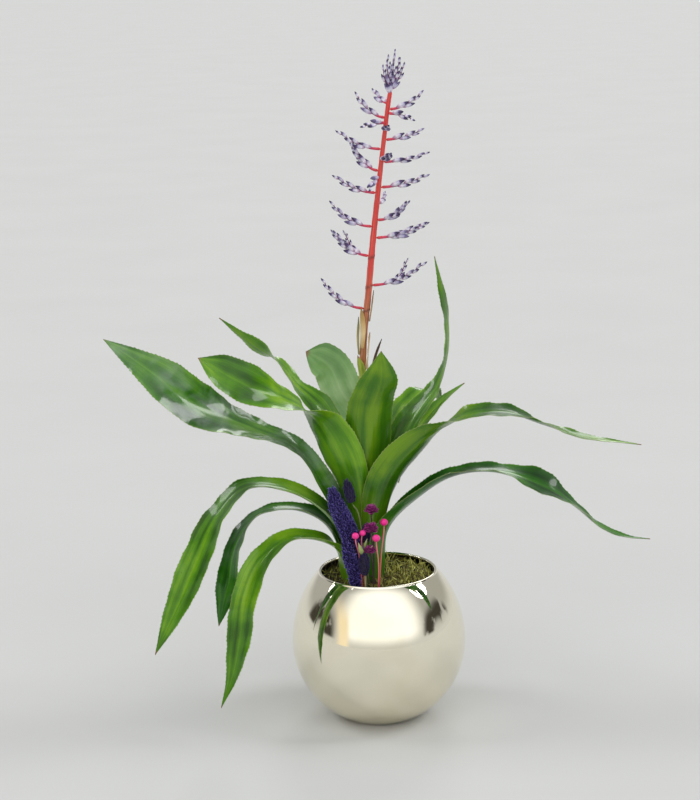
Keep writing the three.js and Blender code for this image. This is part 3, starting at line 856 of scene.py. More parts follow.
@dataclass
class Studio:
    """The floor, the lights and the camera."""

    floor_size: float = 170.0
    floor_tone: Colour = (0.575, 0.58, 0.575)
    camera_place: Place = (0.0, -2.192, 0.879)
    camera_down: float = 12.992
    camera_yaw: float = -0.7232
    camera_roll: float = 1.2
    opening: Place = (0.05, -0.92, 0.39)
    opening_edge: Limits = (0.38, 0.80)
    room_light: Colour = (0.42, 0.42, 0.415)
    opening_light: Colour = (1.30, 1.31, 1.31)
    corner_light: Colour = (0.055, 0.05, 0.04)
    low_light: Colour = (0.67, 0.675, 0.67)
    low_band: float = 0.24
    streak_light: Colour = (1.05, 0.90, 0.66)
    # Where the corners and the streak begin and end, as limits of the direction's own x, y and z.
    corner_inner: Limits = (0.86, 0.93)
    corner_outer: Limits = (0.995, 0.97)
    corner_bottom: Limits = (0.05, 0.10)
    corner_top: Limits = (0.55, 0.30)
    corner_gaps: Limits = (0.36, 0.50)
    streak_inner: Limits = (0.60, 0.71)
    streak_outer: Limits = (0.88, 0.77)
    streak_back: Limits = (0.0, -0.2)
    streak_top: Limits = (0.75, 0.35)
    # Each sun's bearing from the front, round to the right; its height; its strength; its width.
    suns: Rows = ((95, 44, 0.95, 24), (-100, 42, 0.8, 22), (172, 34, 0.5, 22))
    lens: float = 90.0
    sensor: float = 36.0
    sight: float = 200.0

    def build(self) -> None:
        """Sets up everything that is not the object."""
        self.add_floor()
        self.add_sky()
        self.add_lights()
        self.add_camera()
        bpy.context.scene.view_settings.view_transform = "Standard"

    def add_floor(self) -> None:
        """Lays a plain pale floor."""
        clear_selection()
        bpy.ops.mesh.primitive_plane_add(size=self.floor_size)
        floor = bpy.context.object
        floor.name = "studio_floor"
        paint = Paint("studio_floor")
        mottle = paint.noise(paint.space(), 3.0, 3)
        light = tuple(min(1.0, part * 1.03) for part in self.floor_tone)
        colour = paint.ramp(mottle, [(0.3, self.floor_tone), (0.7, light)])
        dressed(floor, paint.finish(Base_Color=colour, Roughness=0.8, Specular_IOR_Level=0.2))

    def add_sky(self) -> None:
        """Fills the room with soft light, bright in front and darker in the corners."""
        world = bpy.data.worlds.new("soft_room")
        bpy.context.scene.world = world
        world.use_nodes = True
        sky = NodeMixer(world.node_tree)
        way = sky.node("ShaderNodeTexCoord", {}).outputs["Generated"]
        x, y, z = (sky.part_of(way, axis) for axis in "XYZ")
        towards = sky.node(
            "ShaderNodeVectorMath", {0: way, 1: self.opening}, operation="DOT_PRODUCT"
        ).outputs["Value"]
        front = sky.spread(towards, *self.opening_edge)
        light = sky.blend(front, self.room_light, self.opening_light)
        light = sky.blend(sky.spread(z, self.low_band, 0.0), light, self.low_light)
        left = sky.times(x, -1.0)
        streak = sky.within(
            (left, self.streak_inner), (left, self.streak_outer),
            (y, self.streak_back), (z, self.streak_top),
        )
        light = sky.blend(streak, light, self.streak_light)
        sideways = sky.sum("ABSOLUTE", x)
        corner = sky.within(
            (sideways, self.corner_inner), (sideways, self.corner_outer),
            (z, self.corner_bottom), (z, self.corner_top),
            (sky.noise(way, 5.0), self.corner_gaps),
        )
        light = sky.blend(corner, light, self.corner_light)
        sky.feed(sky.tree.nodes["Background"].inputs["Color"], light)

    def add_lights(self) -> None:
        """Shines three broad soft suns from the right, the left and behind."""
        for number, (around, height, strength, width) in enumerate(self.suns):
            sun = bpy.data.lights.new(f"soft_sun_{number}", "SUN")
            sun.energy, sun.angle = strength, math.radians(width)
            lamp = bpy.data.objects.new(sun.name, sun)
            bpy.context.scene.collection.objects.link(lamp)
            lamp.rotation_euler = (math.radians(90 - height), 0, math.radians(around))

    def add_camera(self) -> None:
        """Stands the camera in front, looking slightly down."""
        angles = (self.camera_down, self.camera_yaw, self.camera_roll)
        down, yaw, roll = (math.radians(angle) for angle in angles)
        ahead = np.array(
            [math.sin(yaw) * math.cos(down), math.cos(yaw) * math.cos(down), -math.sin(down)]
        )
        right = np.array([math.cos(yaw), -math.sin(yaw), 0.0])
        up = np.cross(right, ahead)
        tilted_right = right * math.cos(roll) - up * math.sin(roll)
        tilted_up = right * math.sin(roll) + up * math.cos(roll)
        turn = Matrix(np.column_stack([tilted_right, tilted_up, -ahead]).tolist())
        data = bpy.data.cameras.new("camera")
        data.lens, data.sensor_width, data.clip_end = self.lens, self.sensor, self.sight
        camera = bpy.data.objects.new("camera", data)
        bpy.context.scene.collection.objects.link(camera)
        camera.location = self.camera_place
        camera.rotation_mode = "QUATERNION"
        camera.rotation_quaternion = turn.to_quaternion()
        bpy.context.scene.camera = camera


# ---- vase


@dataclass
class Vase:
    """A round bowl of silvered glass, turned up ring by ring."""

    height: float = 173
    base_radius: float = 42
    equator_radius: float = 100
    equator_height: float = 90
    mouth_radius: float = 67.4
    wall: float = 3
    floor: float = 5
    sides: int = 144
    wall_steps: int = 26
    edge: float = 0.5
    edge_inset: float = 0.8
    lip_outside: float = 1.2
    lip_inside: float = 2.4
    # The lip's bead, in steps outwards from the mouth's radius and up from its height.
    bead: Rows = (
        (0.35, -0.6), (0.3, 0.3), (-0.3, 0.85), (-1.2, 1.0),
        (-2.1, 0.75), (-2.7, 0.1), (-2.9, -0.8),
    )

    def semi_heights(self, inset: float) -> tuple[float, float]:
        """The half heights of the two ellipses below and above the equator.

        Args:
            inset: How far inside the outer face, in millimetres.

        Returns:
            The lower and the upper half height.
        """
        low = self.equator_height / math.sqrt(1 - (self.base_radius / self.equator_radius) ** 2)
        rise = self.height - self.equator_height
        high = rise / math.sqrt(1 - (self.mouth_radius / self.equator_radius) ** 2)
        return low - inset, high - inset

    def radius_at(self, height: float, inset: float = 0) -> float:
        """The radius of the wall at a height.

        Args:
            height: The height, in millimetres.
            inset: How far inside the outer face.

        Returns:
            The radius, in millimetres.
        """
        low, high = self.semi_heights(inset)
        rise = height - self.equator_height
        share = rise / (low if rise < 0 else high)
        return (self.equator_radius - inset) * math.sqrt(max(0.0, 1 - share * share))

    def wall_rings(self, start: float, stop: float, inset: float) -> list[tuple[float, float]]:
        """Rings up the wall, even in angle about the equator.

        Args:
            start: The height of the first ring, in millimetres.
            stop: The height of the last ring.
            inset: How far inside the outer face.

        Returns:
            The radius and the height of each ring.
        """
        low, high = self.semi_heights(inset)

        def angle(height: float) -> float:
            """The angle of a height above the equator."""
            rise = height - self.equator_height
            return math.asin(rise / (low if rise < 0 else high))

        rings = []
        for turn in np.linspace(angle(start), angle(stop), self.wall_steps + 1):
            reach = (self.equator_radius - inset) * math.cos(turn)
            rise = (low if turn < 0 else high) * math.sin(turn)
            rings.append((reach, self.equator_height + rise))
        return rings

    def profile(self) -> list[tuple[float, float]]:
        """All rings from the edge of the base, over the lip and down to the inner floor.

        Returns:
            The radius and the height of each ring.
        """
        outside = self.wall_rings(self.edge, self.height - self.lip_outside, 0)
        lip = [(self.mouth_radius + out, self.height + up) for out, up in self.bead]
        inside = self.wall_rings(self.floor, self.height - self.lip_inside, self.wall)[::-1]
        return [(self.base_radius - self.edge_inset, 0), *outside, *lip, *inside]

    def build(self, silver: Material, lining: Material) -> None:
        """Turns the bowl and dresses its outside and its inside.

        Args:
            silver: The finish of the outside and the lip.
            lining: The finish of the inside.
        """
        rings = self.profile()
        clear_selection()
        bpy.ops.mesh.primitive_circle_add(
            vertices=self.sides, radius=rings[0][0] * MM, fill_type="NGON", location=(0, 0, 0)
        )
        bowl = bpy.context.object
        bpy.ops.object.mode_set(mode="EDIT")
        bpy.ops.mesh.select_all(action="SELECT")
        for (radius, height), (wider, higher) in zip(rings, rings[1:]):
            rise = (0, 0, (higher - height) * MM)
            bpy.ops.mesh.extrude_region_move(TRANSFORM_OT_translate={"value": rise})
            grow = wider / radius
            centre = (0, 0, higher * MM)
            bpy.ops.transform.resize(value=(grow, grow, 1), center_override=centre)
        bpy.ops.mesh.select_all(action="SELECT")
        bpy.ops.mesh.normals_make_consistent(inside=False)
        bpy.ops.object.mode_set(mode="OBJECT")
        bowl.name = bowl.data.name = "vase_bowl"
        dressed(bowl, silver, lining)
        for face in bowl.data.polygons:
            inward = face.normal.x * face.center.x + face.normal.y * face.center.y < 0
            inner_floor = face.normal.z > 0.9 and face.center.z < self.height * MM / 2
            below_lip = face.center.z < (self.height - 2.0) * MM
            face.material_index = 1 if (inward and below_lip) or inner_floor else 0
        settled(bowl, ["vase"], math.radians(60))


# ---- moss and mix


@dataclass
class Planting:
    """The moss in the mouth of the vase, over the potting mix and the root stock."""

    vase: Vase
    centre: tuple[float, float] = ROSETTE_CENTRE
    level: float = 163.2
    relief: float = 2.4
    roughness: float = 0.45
    edge_start: float = 0.80
    edge_drop: float = 8.5
    bed_bottom: float = 139
    rosette_radius: float = 26
    strands: int = 3300
    strand_length: float = 9
    strand_radius: float = 0.72
    strand_curls: tuple[float, ...] = (0.5, 0.9, 1.3)
    rim_gap: float = 0.8
    seed: int = 11

    def surface_height(self, x: Array, y: Array) -> Array:
        """The height of the moss over places in the mouth.

        Args:
            x: The places' x, in millimetres.
            y: Their y.

        Returns:
            The heights, in millimetres.
        """
        waves = np.sin(x / 11) * np.cos(y / 9) + 0.5 * np.sin(x / 4.7 + 1) * np.sin(y / 5.3)
        edge = np.hypot(x, y) / self.vase.radius_at(self.level, self.vase.wall)
        falling = np.clip(edge - self.edge_start, 0, 1) / (1 - self.edge_start)
        return self.level + self.relief * waves - self.edge_drop * falling

    def build(self, bed_finish: Material, strand_finish: Material) -> None:
        """Makes the moss bed and lays its strands over it."""
        self.build_bed(bed_finish)
        self.build_strands(strand_finish)

    def build_bed(self, finish: Material) -> None:
        """Presses a ball into a flat cushion that fills the mouth.

        Args:
            finish: The finish of the bed.
        """
        clear_selection()
        bpy.ops.mesh.primitive_uv_sphere_add(segments=96, ring_count=96, radius=1.0)
        bed = bpy.context.object
        ball = points_of(bed)
        reach = np.hypot(ball[:, 0], ball[:, 1])
        outwards = ball[:, :2] / np.maximum(reach, 1e-9)[:, None]
        share = np.arcsin(np.clip(reach, 0, 1)) / (math.pi / 2)
        top = ball[:, 2] >= 0
        wall_height = np.where(top, self.level - 6, self.bed_bottom + 3)
        wall = np.array([self.vase.radius_at(h, self.vase.wall + 0.6) for h in wall_height])
        flat = outwards * (share * wall)[:, None]
        height = np.where(top, self.surface_height(flat[:, 0], flat[:, 1]), self.bed_bottom)
        place = np.column_stack([flat, height])
        rng = np.random.default_rng(self.seed)
        place[:, 2] += np.where(top, rng.normal(0, self.roughness, len(place)), 0)
        set_points(bed, place * MM)
        bed.name = bed.data.name = "moss_bed"
        mark(bed, "along", np.full(len(ball), 0.3))
        mark(bed, "pick", rng.uniform(0, 1, len(ball)))
        settled(dressed(bed, finish), ["moss"])

    def build_strands(self, finish: Material) -> None:
        """Scatters curled strands over the bed.

        Args:
            finish: The finish of the strands.
        """
        rng = np.random.default_rng(self.seed + 1)
        patterns = []
        for number, curl in enumerate(self.strand_curls):
            reach, size = self.strand_length, self.strand_length * curl
            rows = [
                (0, 0, 0, self.strand_radius),
                (0.15 * size, 0.2 * size, reach * 0.35, self.strand_radius),
                (0.65 * size, -0.1 * size, reach * 0.7, self.strand_radius * 0.8),
                (size, -0.5 * size, reach * 0.92, self.strand_radius * 0.4),
            ]
            patterns.append(rolled_rod(f"strand_{number}", rows, 3, 5))
        limit = self.vase.radius_at(self.level, self.vase.wall) - 2.5
        parts = []
        for number, pattern in enumerate(patterns):
            count = self.strands // len(patterns)
            spots = self.spots(rng, count, limit)
            heading = rng.uniform(0, FULL_TURN, count)
            tilt = np.radians(np.clip(rng.normal(80, 15, count), 8, 100))
            outwards = np.column_stack(
                [np.sin(tilt) * np.cos(heading), np.sin(tilt) * np.sin(heading), np.cos(tilt)]
            )
            edge = np.hypot(spots[:, 0], spots[:, 1]) / limit
            inwards = np.column_stack([-spots[:, :2] / limit, np.zeros(count)])
            axes = outwards + inwards * (np.clip(edge - 0.75, 0, 1) * 5)[:, None]
            turns = facing_turns(axes, rng.uniform(0, FULL_TURN, count))
            sizes = rng.uniform(0.45, 1.15, count)
            browner = np.clip(0.5 - spots[:, 0] / 160 - spots[:, 1] / 200, 0, 1)
            picks = np.clip(rng.uniform(0, 1, count) * 0.75 + (1 - browner) * 0.4 - 0.1, 0, 1)
            parts.append(repeated(f"strands_{number}", pattern, spots * MM, turns, sizes, picks))
            bpy.data.objects.remove(pattern)
        for part in parts:
            dressed(part, finish)
        moss = joined("moss_strands", parts)
        place = points_of(moss)
        reach = np.hypot(place[:, 0], place[:, 1])
        most = (self.vase.mouth_radius - self.vase.wall - self.rim_gap) * MM
        place[:, :2] *= np.minimum(1, most / np.maximum(reach, 1e-9))[:, None]
        set_points(moss, place)
        settled(moss)

    def spots(self, rng: np.random.Generator, count: int, limit: float) -> Array:
        """Random places on the bed, outside the rosette.

        Args:
            rng: The source of chance.
            count: How many places.
            limit: How far out they may be.

        Returns:
            The places, in millimetres.
        """
        reach = limit * np.sqrt(rng.uniform(0, 1, count * 3))
        turn = rng.uniform(0, FULL_TURN, count * 3)
        x, y = reach * np.cos(turn), reach * np.sin(turn)
        clear = np.hypot(x - self.centre[0], y - self.centre[1]) > self.rosette_radius
        x, y = x[clear][:count], y[clear][:count]
        return np.column_stack([x, y, self.surface_height(x, y) - 0.3])


# ---- leaves


class Tone(Enum):
    """The tints that the leaves come in."""

    DEEP = "deep"
    FRESH = "fresh"
    OLIVE = "olive"
    PALE = "pale"
    SILVERY = "silvery"


@dataclass(frozen=True)
class Leaf:
    """One leaf: its clasping base on the crown, and the rows that its blade runs through.

    The base stands in `ring`, wraps `clasp` degrees to each side of `facing`, and follows the
    funnel of the rosette up to `release`. `heading` is the compass direction of the blade and
    `channel` its fold, in degrees, where it is released and at its tip. Blade rows hold x, y, z,
    width and roll.
    """

    name: str
    tone: Tone
    ring: int
    facing: float
    clasp: float
    release: float
    heading: float
    channel: tuple[float, float]
    blade: Rows
    tip: float = 45

    foot: float = 150.3
    centre: tuple[float, float] = ROSETTE_CENTRE
    first_ring: float = 9
    ring_step: float = 2.4
    flare: float = 0.5
    clasped: float = 0.8

    def funnel_row(self, height: float, clasp: float) -> tuple[float, ...]:
        """A row of the base, at a height of the funnel.

        Args:
            height: The height, in millimetres.
            clasp: How far it wraps round the crown to each side, in degrees.

        Returns:
            x, y, z, width, fold, heading and roll.
        """
        grown = 1 + self.flare * (height - self.foot) / 100
        radius = (self.first_ring + self.ring_step * self.ring) * grown
        facing = math.radians(self.facing)
        x = self.centre[0] + radius * math.cos(facing)
        y = self.centre[1] + radius * math.sin(facing)
        width = 2 * radius * math.sin(math.radians(clasp))
        return (x, y, height, width, 2 * clasp, self.facing, 0)

    def rows(self) -> list[tuple[float, ...]]:
        """All rows from the base to the tip.

        Returns:
            Rows of x, y, z, width, fold, heading and roll.
        """
        start, end = self.channel
        open_clasp = self.clasp * self.clasped
        rows = [
            self.funnel_row(self.foot, self.clasp),
            self.funnel_row((self.foot + self.release) / 2, (self.clasp + open_clasp) / 2),
            self.funnel_row(self.release, open_clasp),
        ]
        for number, (x, y, z, width, roll) in enumerate(self.blade):
            folded = (1 - (number + 1) / len(self.blade)) ** 2
            rows.append((x, y, z, width, end + (start - end) * folded, self.heading, roll))
        return rows


def blade_frame(line: Array) -> tuple[Array, Array, Array, Array]:
    """The centre, across and face directions and the radius of a blade's fold at each row.

    Args:
        line: Rows of x, y, z, width, fold, heading and roll.

    Returns:
        Centres, directions across, directions out of the upper face, and half folds.
    """
    centre = line[:, :3]
    along = directions(centre)
    heading, roll = np.radians(line[:, 5]), np.radians(line[:, 6])
    level = np.column_stack([-np.sin(heading), np.cos(heading), np.zeros(len(line))])
    flat = unit(level - along * np.sum(level * along, axis=1, keepdims=True))
    upper = np.cross(along, flat)
    across = turned(flat, upper, roll)
    return centre, across, np.cross(along, across), np.radians(line[:, 4]) / 2


@dataclass
class BladeMaker:
    """Makes folded blades with toothed, gently waved margins."""

    columns: int = 16
    tooth_pitch: float = 4.6
    tooth_height: float = 1.05
    rows_per_tooth: int = 4
    thickness: float = 1.0
    wave: float = 1.1
    wave_length: float = 58
    small_wave: float = 0.41
    groove: float = 0.7
    groove_width: float = 0.07
    full_width: float = 30
    tooth_slant: float = 0.7
    end_width: float = 0.35

    def make(self, name: str, rows: Rows, phase: float = 0.0, tip: float = 12) -> Piece:
        """Makes one blade.

        Args:
            name: The piece's name.
            rows: Rows of x, y, z, width, fold, heading and roll.
            phase: Shifts the waves of the margin.
            tip: How long the tapering end is, in millimetres.

        Returns:
            The closed blade, upper face first in its slots and under face second.
        """
        full = [list(row) for row in rows]
        full[-1][3] = 0.8 * full[-2][3]
        line = SmoothLine(full)
        whole = length_of(line.evenly(400)[:, :3])
        steps = int(whole / self.tooth_pitch) * self.rows_per_tooth
        line = line.evenly(steps + 1)
        left = np.clip(np.linspace(whole, 0, steps + 1) / tip, 0, 1)
        line[:, 3] = line[:, 3] * (1 - (1 - left) ** 1.5) + self.end_width
        centre, across, face, half = blade_frame(line)
        bend = line[:, 3] / 2 / np.sin(half)
        tooth = self.tooth_profile(steps, whole)
        along_line = directions(centre)

        def lay(share_across: Array, share_along: Array) -> Array:
            """Places on the folded blade.

            Args:
                share_across: Shares of the way from margin to margin.
                share_along: Shares of the way from foot to tip.

            Returns:
                The places, in metres.
            """
            row = np.rint(share_along * steps).astype(int)
            u = 1 - 2 * share_across
            angle = u * half[row]
            edge = np.abs(u) ** 3
            distance = share_along * whole
            turns = FULL_TURN * distance / self.wave_length
            ripple = np.sin(turns + phase + np.sign(u) * 1.1)
            ripple += 0.5 * np.sin(turns / self.small_wave + 2 * phase + u)
            breadth = line[row, 3] / self.full_width
            faded = np.clip(distance / whole - 0.25, 0, 0.3) / 0.3 * np.clip(breadth, 0.1, 1)
            lift = self.wave * ripple * edge * faded
            lift -= self.groove * np.exp(-((u / self.groove_width) ** 2)) * np.clip(breadth, 0, 1)
            at_margin = np.abs(u) > 0.999
            outwards = np.where(at_margin, tooth[row] * np.sign(u), 0)
            forward = np.where(at_margin, tooth[row] * self.tooth_slant, 0)
            sideways = bend[row] * np.sin(angle) + outwards * np.cos(angle)
            upwards = bend[row] * (1 - np.cos(angle)) + lift
            upwards += np.abs(outwards) * np.sin(np.abs(angle))
            place = centre[row] + across[row] * sideways[:, None] + face[row] * upwards[:, None]
            return (place + along_line[row] * forward[:, None]) * MM

        blade = laid_sheet(name, self.columns, steps, lay)
        self.thicken(blade)
        return blade

    def tooth_profile(self, steps: int, whole: float) -> Array:
        """How far the margin stands out at each row: a saw edge that fades at both ends.

        Args:
            steps: How many faces go along the blade.
            whole: The blade's length, in millimetres.

        Returns:
            How far each row stands out, in millimetres.
        """
        turn = np.arange(steps + 1) % self.rows_per_tooth
        saw = (turn / (self.rows_per_tooth - 1)) ** 2.2
        distance = np.linspace(0, whole, steps + 1)
        fade = np.clip((distance - 60) / 50, 0, 1) * np.clip((whole - distance) / 40, 0, 1)
        uneven = 0.75 + 0.25 * np.sin(np.arange(steps + 1) // self.rows_per_tooth * 2.4)
        return self.tooth_height * saw * fade * uneven

    def thicken(self, blade: Piece) -> None:
        """Gives a laid blade its thickness, thinner towards the margins.

        Args:
            blade: The laid blade.
        """
        uv = blade.data.uv_layers[0]
        across = np.full(len(blade.data.vertices), 0.5)
        for loop, corner in zip(blade.data.loops, uv.data):
            across[loop.vertex_index] = corner.uv[0]
        group = blade.vertex_groups.new(name="thickness")
        weights = 1 - 0.75 * np.abs(2 * across - 1) ** 2.5
        for level in np.unique(weights.round(4)):
            members = np.nonzero(weights.round(4) == level)[0].tolist()
            group.add(members, float(level), "REPLACE")
        make_active(blade)
        solid = blade.modifiers.new("thickness", "SOLIDIFY")
        solid.thickness = self.thickness * MM
        solid.offset = -1
        solid.vertex_group = "thickness"
        solid.thickness_vertex_group = 0.15
        solid.use_rim = True
        solid.material_offset = 1
        solid.material_offset_rim = 1
        bpy.ops.object.modifier_apply(modifier=solid.name)
        blade.vertex_groups.clear()


LEAVES: tuple[Leaf, ...] = (
    Leaf(
        "leaf_front", Tone.OLIVE, 0, 290, 72, 248, 270, (110, 25),
        (
            (-6, -22, 320, 50, 15), (-3, -30, 374, 52, 15), (6, -37, 404, 44, 18),
            (8, -40, 437, 2, 20),
        ), tip=36,
    ),
    Leaf(
        "leaf_back_left", Tone.PALE, 0, 88, 58, 260, 115, (110, 20),
        (
            (-12, 60, 318, 34, 5), (-36, 74, 364, 46, -25), (-52, 84, 396, 44, -20),
            (-79, 86, 412, 2, -20),
        ), tip=18,
    ),
    Leaf(
        "leaf_upper_left", Tone.FRESH, 1, 178, 55, 250, 160, (110, 20),
        (
            (-40, 14, 303, 34, -30), (-65, 34, 358, 36, -20), (-90, 50, 381, 30, 0),
            (-114, 58, 411, 26, 22), (-130, 62, 421, 24, 55), (-153, 66, 438, 17, 65),
            (-177, 70, 457, 2, 65),
        ), tip=55,
    ),
    Leaf(
        "leaf_right_upright", Tone.FRESH, 1, 10, 58, 240, 25, (110, 20),
        (
            (21, 5, 304, 38, 15), (45, 14, 350, 36, 15), (71, 24, 382, 28, -5),
            (84, 34, 424, 20, -20), (83, 36, 462, 18, -5), (77, 38, 496, 14, 10),
            (70, 40, 528, 2, 15),
        ), tip=60,
    ),
    Leaf(
        "leaf_left_front", Tone.FRESH, 2, 235, 70, 244, 195, (110, 20),
        (
            (-39, -33, 317, 46, 60), (-60, -40, 358, 44, 40), (-78, -50, 376, 38, 0),
            (-107, -62, 392, 40, -35), (-143, -76, 413, 45, -65), (-171, -84, 431, 36, -65),
            (-189, -88, 443, 2, -60),
        ), tip=30,
    ),
    Leaf(
        "leaf_back_right", Tone.FRESH, 2, 26, 56, 238, 45, (110, 30),
        (
            (33, 25, 304, 28, -10), (60, 44, 341, 30, -15), (82, 58, 361, 20, -10),
            (104, 66, 376, 2, -10),
        ),
    ),
    Leaf(
        "leaf_right_upper", Tone.OLIVE, 3, 312, 66, 228, 345, (110, 20),
        (
            (17, -32, 294, 44, -45), (50, -38, 333, 40, -40), (78, -44, 353, 34, -10),
            (105, -50, 366, 34, 15), (137, -58, 371, 34, 10), (186, -68, 358, 26, -15),
            (223, -76, 346, 20, 5), (257, -84, 342, 12, 10), (288, -90, 339, 2, 10),
        ), tip=80,
    ),
    Leaf(
        "leaf_back_inner", Tone.FRESH, 3, 100, 46, 248, 70, (110, 25),
        (
            (16, 60, 314, 32, -12), (43, 74, 355, 34, -20), (60, 90, 364, 28, -5),
            (73, 110, 352, 18, 5), (80, 126, 336, 2, 10),
        ), tip=40,
    ),
    Leaf(
        "leaf_far_left", Tone.SILVERY, 4, 185, 68, 206, 188, (110, 20),
        (
            (-57, -20, 277, 28, -40), (-89, -30, 327, 28, -25), (-135, -40, 350, 42, -20),
            (-191, -52, 379, 56, -45), (-239, -58, 420, 46, -65), (-294, -60, 460, 2, -70),
        ), tip=90,
    ),
    Leaf(
        "leaf_right_lower", Tone.DEEP, 4, 340, 68, 218, 350, (125, 20),
        (
            (50, -22, 268, 36, 0), (83, -28, 290, 34, 0), (116, -34, 298, 32, 0),
            (149, -40, 296, 36, 5), (187, -48, 283, 38, 25), (221, -56, 261, 28, -10),
            (249, -64, 239, 20, 0), (277, -70, 229, 12, 10), (301, -76, 228, 2, 10),
        ), tip=70,
    ),
    Leaf(
        "leaf_arch_outer", Tone.FRESH, 5, 200, 60, 205, 200, (110, 20),
        (
            (-58, -26, 250, 30, -20), (-96, -38, 280, 30, -15), (-146, -50, 287, 32, -5),
            (-176, -58, 258, 36, -15), (-201, -66, 209, 38, -35), (-225, -72, 157, 28, -45),
            (-251, -76, 102, 2, -45),
        ), tip=70,
    ),
    Leaf(
        "leaf_arch_middle", Tone.DEEP, 6, 175, 50, 196, 190, (110, 20),
        (
            (-64, -8, 238, 28, -15), (-98, -18, 253, 26, 0), (-135, -28, 249, 26, 0),
            (-159, -36, 219, 28, -20), (-170, -42, 171, 26, -55), (-181, -46, 124, 2, -60),
        ),
    ),
    Leaf(
        "leaf_arch_front", Tone.FRESH, 7, 215, 48, 196, 200, (110, 20),
        (
            (-64, -40, 222, 28, -5), (-97, -52, 228, 30, -5), (-129, -62, 206, 32, -25),
            (-147, -72, 169, 32, -40), (-156, -80, 119, 30, -40), (-166, -86, 74, 18, -35),
            (-178, -90, 43, 2, -35),
        ), tip=60,
    ),
    Leaf(
        "leaf_back_low_left", Tone.DEEP, 7, 112, 40, 200, 100, (110, 20),
        (
            (-28, 74, 240, 28, 0), (-36, 118, 252, 32, 5), (-44, 160, 232, 28, 10),
            (-50, 190, 192, 2, 10),
        ),
    ),
    Leaf(
        "leaf_back_low_right", Tone.DEEP, 5, 74, 48, 205, 80, (110, 20),
        (
            (2, 78, 262, 28, 0), (10, 122, 280, 32, -5), (20, 164, 262, 28, -10),
            (28, 196, 222, 2, -10),
        ),
    ),
)


# The dark, middle and light green of each tone: the upper face's, then the under face's.
GREENS: dict[Tone, tuple[tuple[Colour, Colour, Colour], tuple[Colour, Colour, Colour]]] = {
    Tone.DEEP: (
        ((0.005, 0.040, 0.002), (0.018, 0.115, 0.004), (0.07, 0.24, 0.012)),
        ((0.010, 0.065, 0.002), (0.035, 0.15, 0.005), (0.10, 0.27, 0.014)),
    ),
    Tone.FRESH: (
        ((0.020, 0.085, 0.002), (0.072, 0.225, 0.005), (0.20, 0.40, 0.014)),
        ((0.010, 0.055, 0.002), (0.036, 0.135, 0.004), (0.10, 0.26, 0.010)),
    ),
    Tone.OLIVE: (
        ((0.014, 0.075, 0.002), (0.052, 0.17, 0.004), (0.15, 0.29, 0.007)),
        ((0.016, 0.085, 0.002), (0.065, 0.20, 0.004), (0.20, 0.35, 0.008)),
    ),
    # The pale tone's pale bluish green is partly the leaf's own paler green and partly painted sky
    # sheen.
    Tone.PALE: (
        ((0.10, 0.24, 0.06), (0.19, 0.36, 0.11), (0.33, 0.50, 0.22)),
        ((0.06, 0.17, 0.05), (0.13, 0.28, 0.09), (0.24, 0.42, 0.17)),
    ),
    Tone.SILVERY: (
        ((0.010, 0.06, 0.003), (0.042, 0.17, 0.007), (0.14, 0.34, 0.025)),
        ((0.012, 0.07, 0.003), (0.04, 0.16, 0.008), (0.11, 0.29, 0.02)),
    ),
}
# The silvery tone's whitish patches are painted sheen; its coat and low roughness give real gloss.
UPPER_SHINE = {Tone.SILVERY: {"painted_sheen_share": 0.1, "roughness": 0.2, "coat": 0.8}}
UNDER_SHINE = {Tone.OLIVE: {"roughness": 0.36, "coat": 0.15}}
DULL = {"roughness": 0.4, "coat": 0.1}


@dataclass
class Rosette:
    """All leaves of the plant."""

    maker: BladeMaker = field(default_factory=BladeMaker)
    wave_shift: float = 1.7

    def finishes(self) -> dict[Tone, tuple[Material, Material]]:
        """Mixes the finishes of the leaves.

        Returns:
            The finish of the upper and of the under face, for each tone.
        """
        made = {}
        for tone, (upper, under) in GREENS.items():
            top = LeafFinish(f"leaf_{tone.value}", *upper, **UPPER_SHINE.get(tone, {}))
            back = LeafFinish(f"leaf_{tone.value}_under", *under, **UNDER_SHINE.get(tone, DULL))
            made[tone] = (top.make(), back.make())
        return made

    def build(self) -> None:
        """Makes every leaf."""
        finishes = self.finishes()
        for number, leaf in enumerate(LEAVES):
            phase = number * self.wave_shift
            blade = self.maker.make(leaf.name + "_blade", leaf.rows(), phase, leaf.tip)
            settled(dressed(blade, *finishes[leaf.tone]), [leaf.name])


# ---- flower stem


@dataclass
class BudFactory:
    """The one bud that every spike repeats."""

    length: float = 16.5
    radius: float = 3.7
    sides: int = 8
    rings: int = 9

    def make(self) -> Piece:
        """A pointed, slightly bowed bud.

        Returns:
            The bud, about the origin, pointing along +Z, in metres.
        """
        clear_selection()
        bpy.ops.mesh.primitive_uv_sphere_add(segments=self.sides, ring_count=self.rings, radius=1.0)
        bud = bpy.context.object
        ball = points_of(bud)
        share = np.clip((ball[:, 2] + 1) / 2, 0, 1)
        belly = np.sin(math.pi * share**0.95) ** 0.6 * (1 - 0.22 * share)
        reach = np.maximum(np.hypot(ball[:, 0], ball[:, 1]), 1e-9)
        outwards = ball[:, :2] / reach[:, None]
        keep = np.where(reach > 1e-4, 1.0, 0.0) * belly * self.radius
        bow = 0.9 * share**2
        place = np.column_stack(
            [outwards[:, 0] * keep - bow, outwards[:, 1] * keep * 0.8, share * self.length]
        )
        set_points(bud, place * MM)
        bud.name = bud.data.name = "bud_pattern"
        mark(bud, "along", share)
        mark(bud, "pick", np.full(len(share), 0.5))
        return bud


@dataclass(frozen=True)
class Spike:
    """A side spike: its height on the stem, compass direction, reach, rise and look."""

    height: float
    compass: float
    reach: float
    rise: float
    tilt: float = 40.0
    fullness: int = 1
    side_spikes: tuple[float, ...] = ()


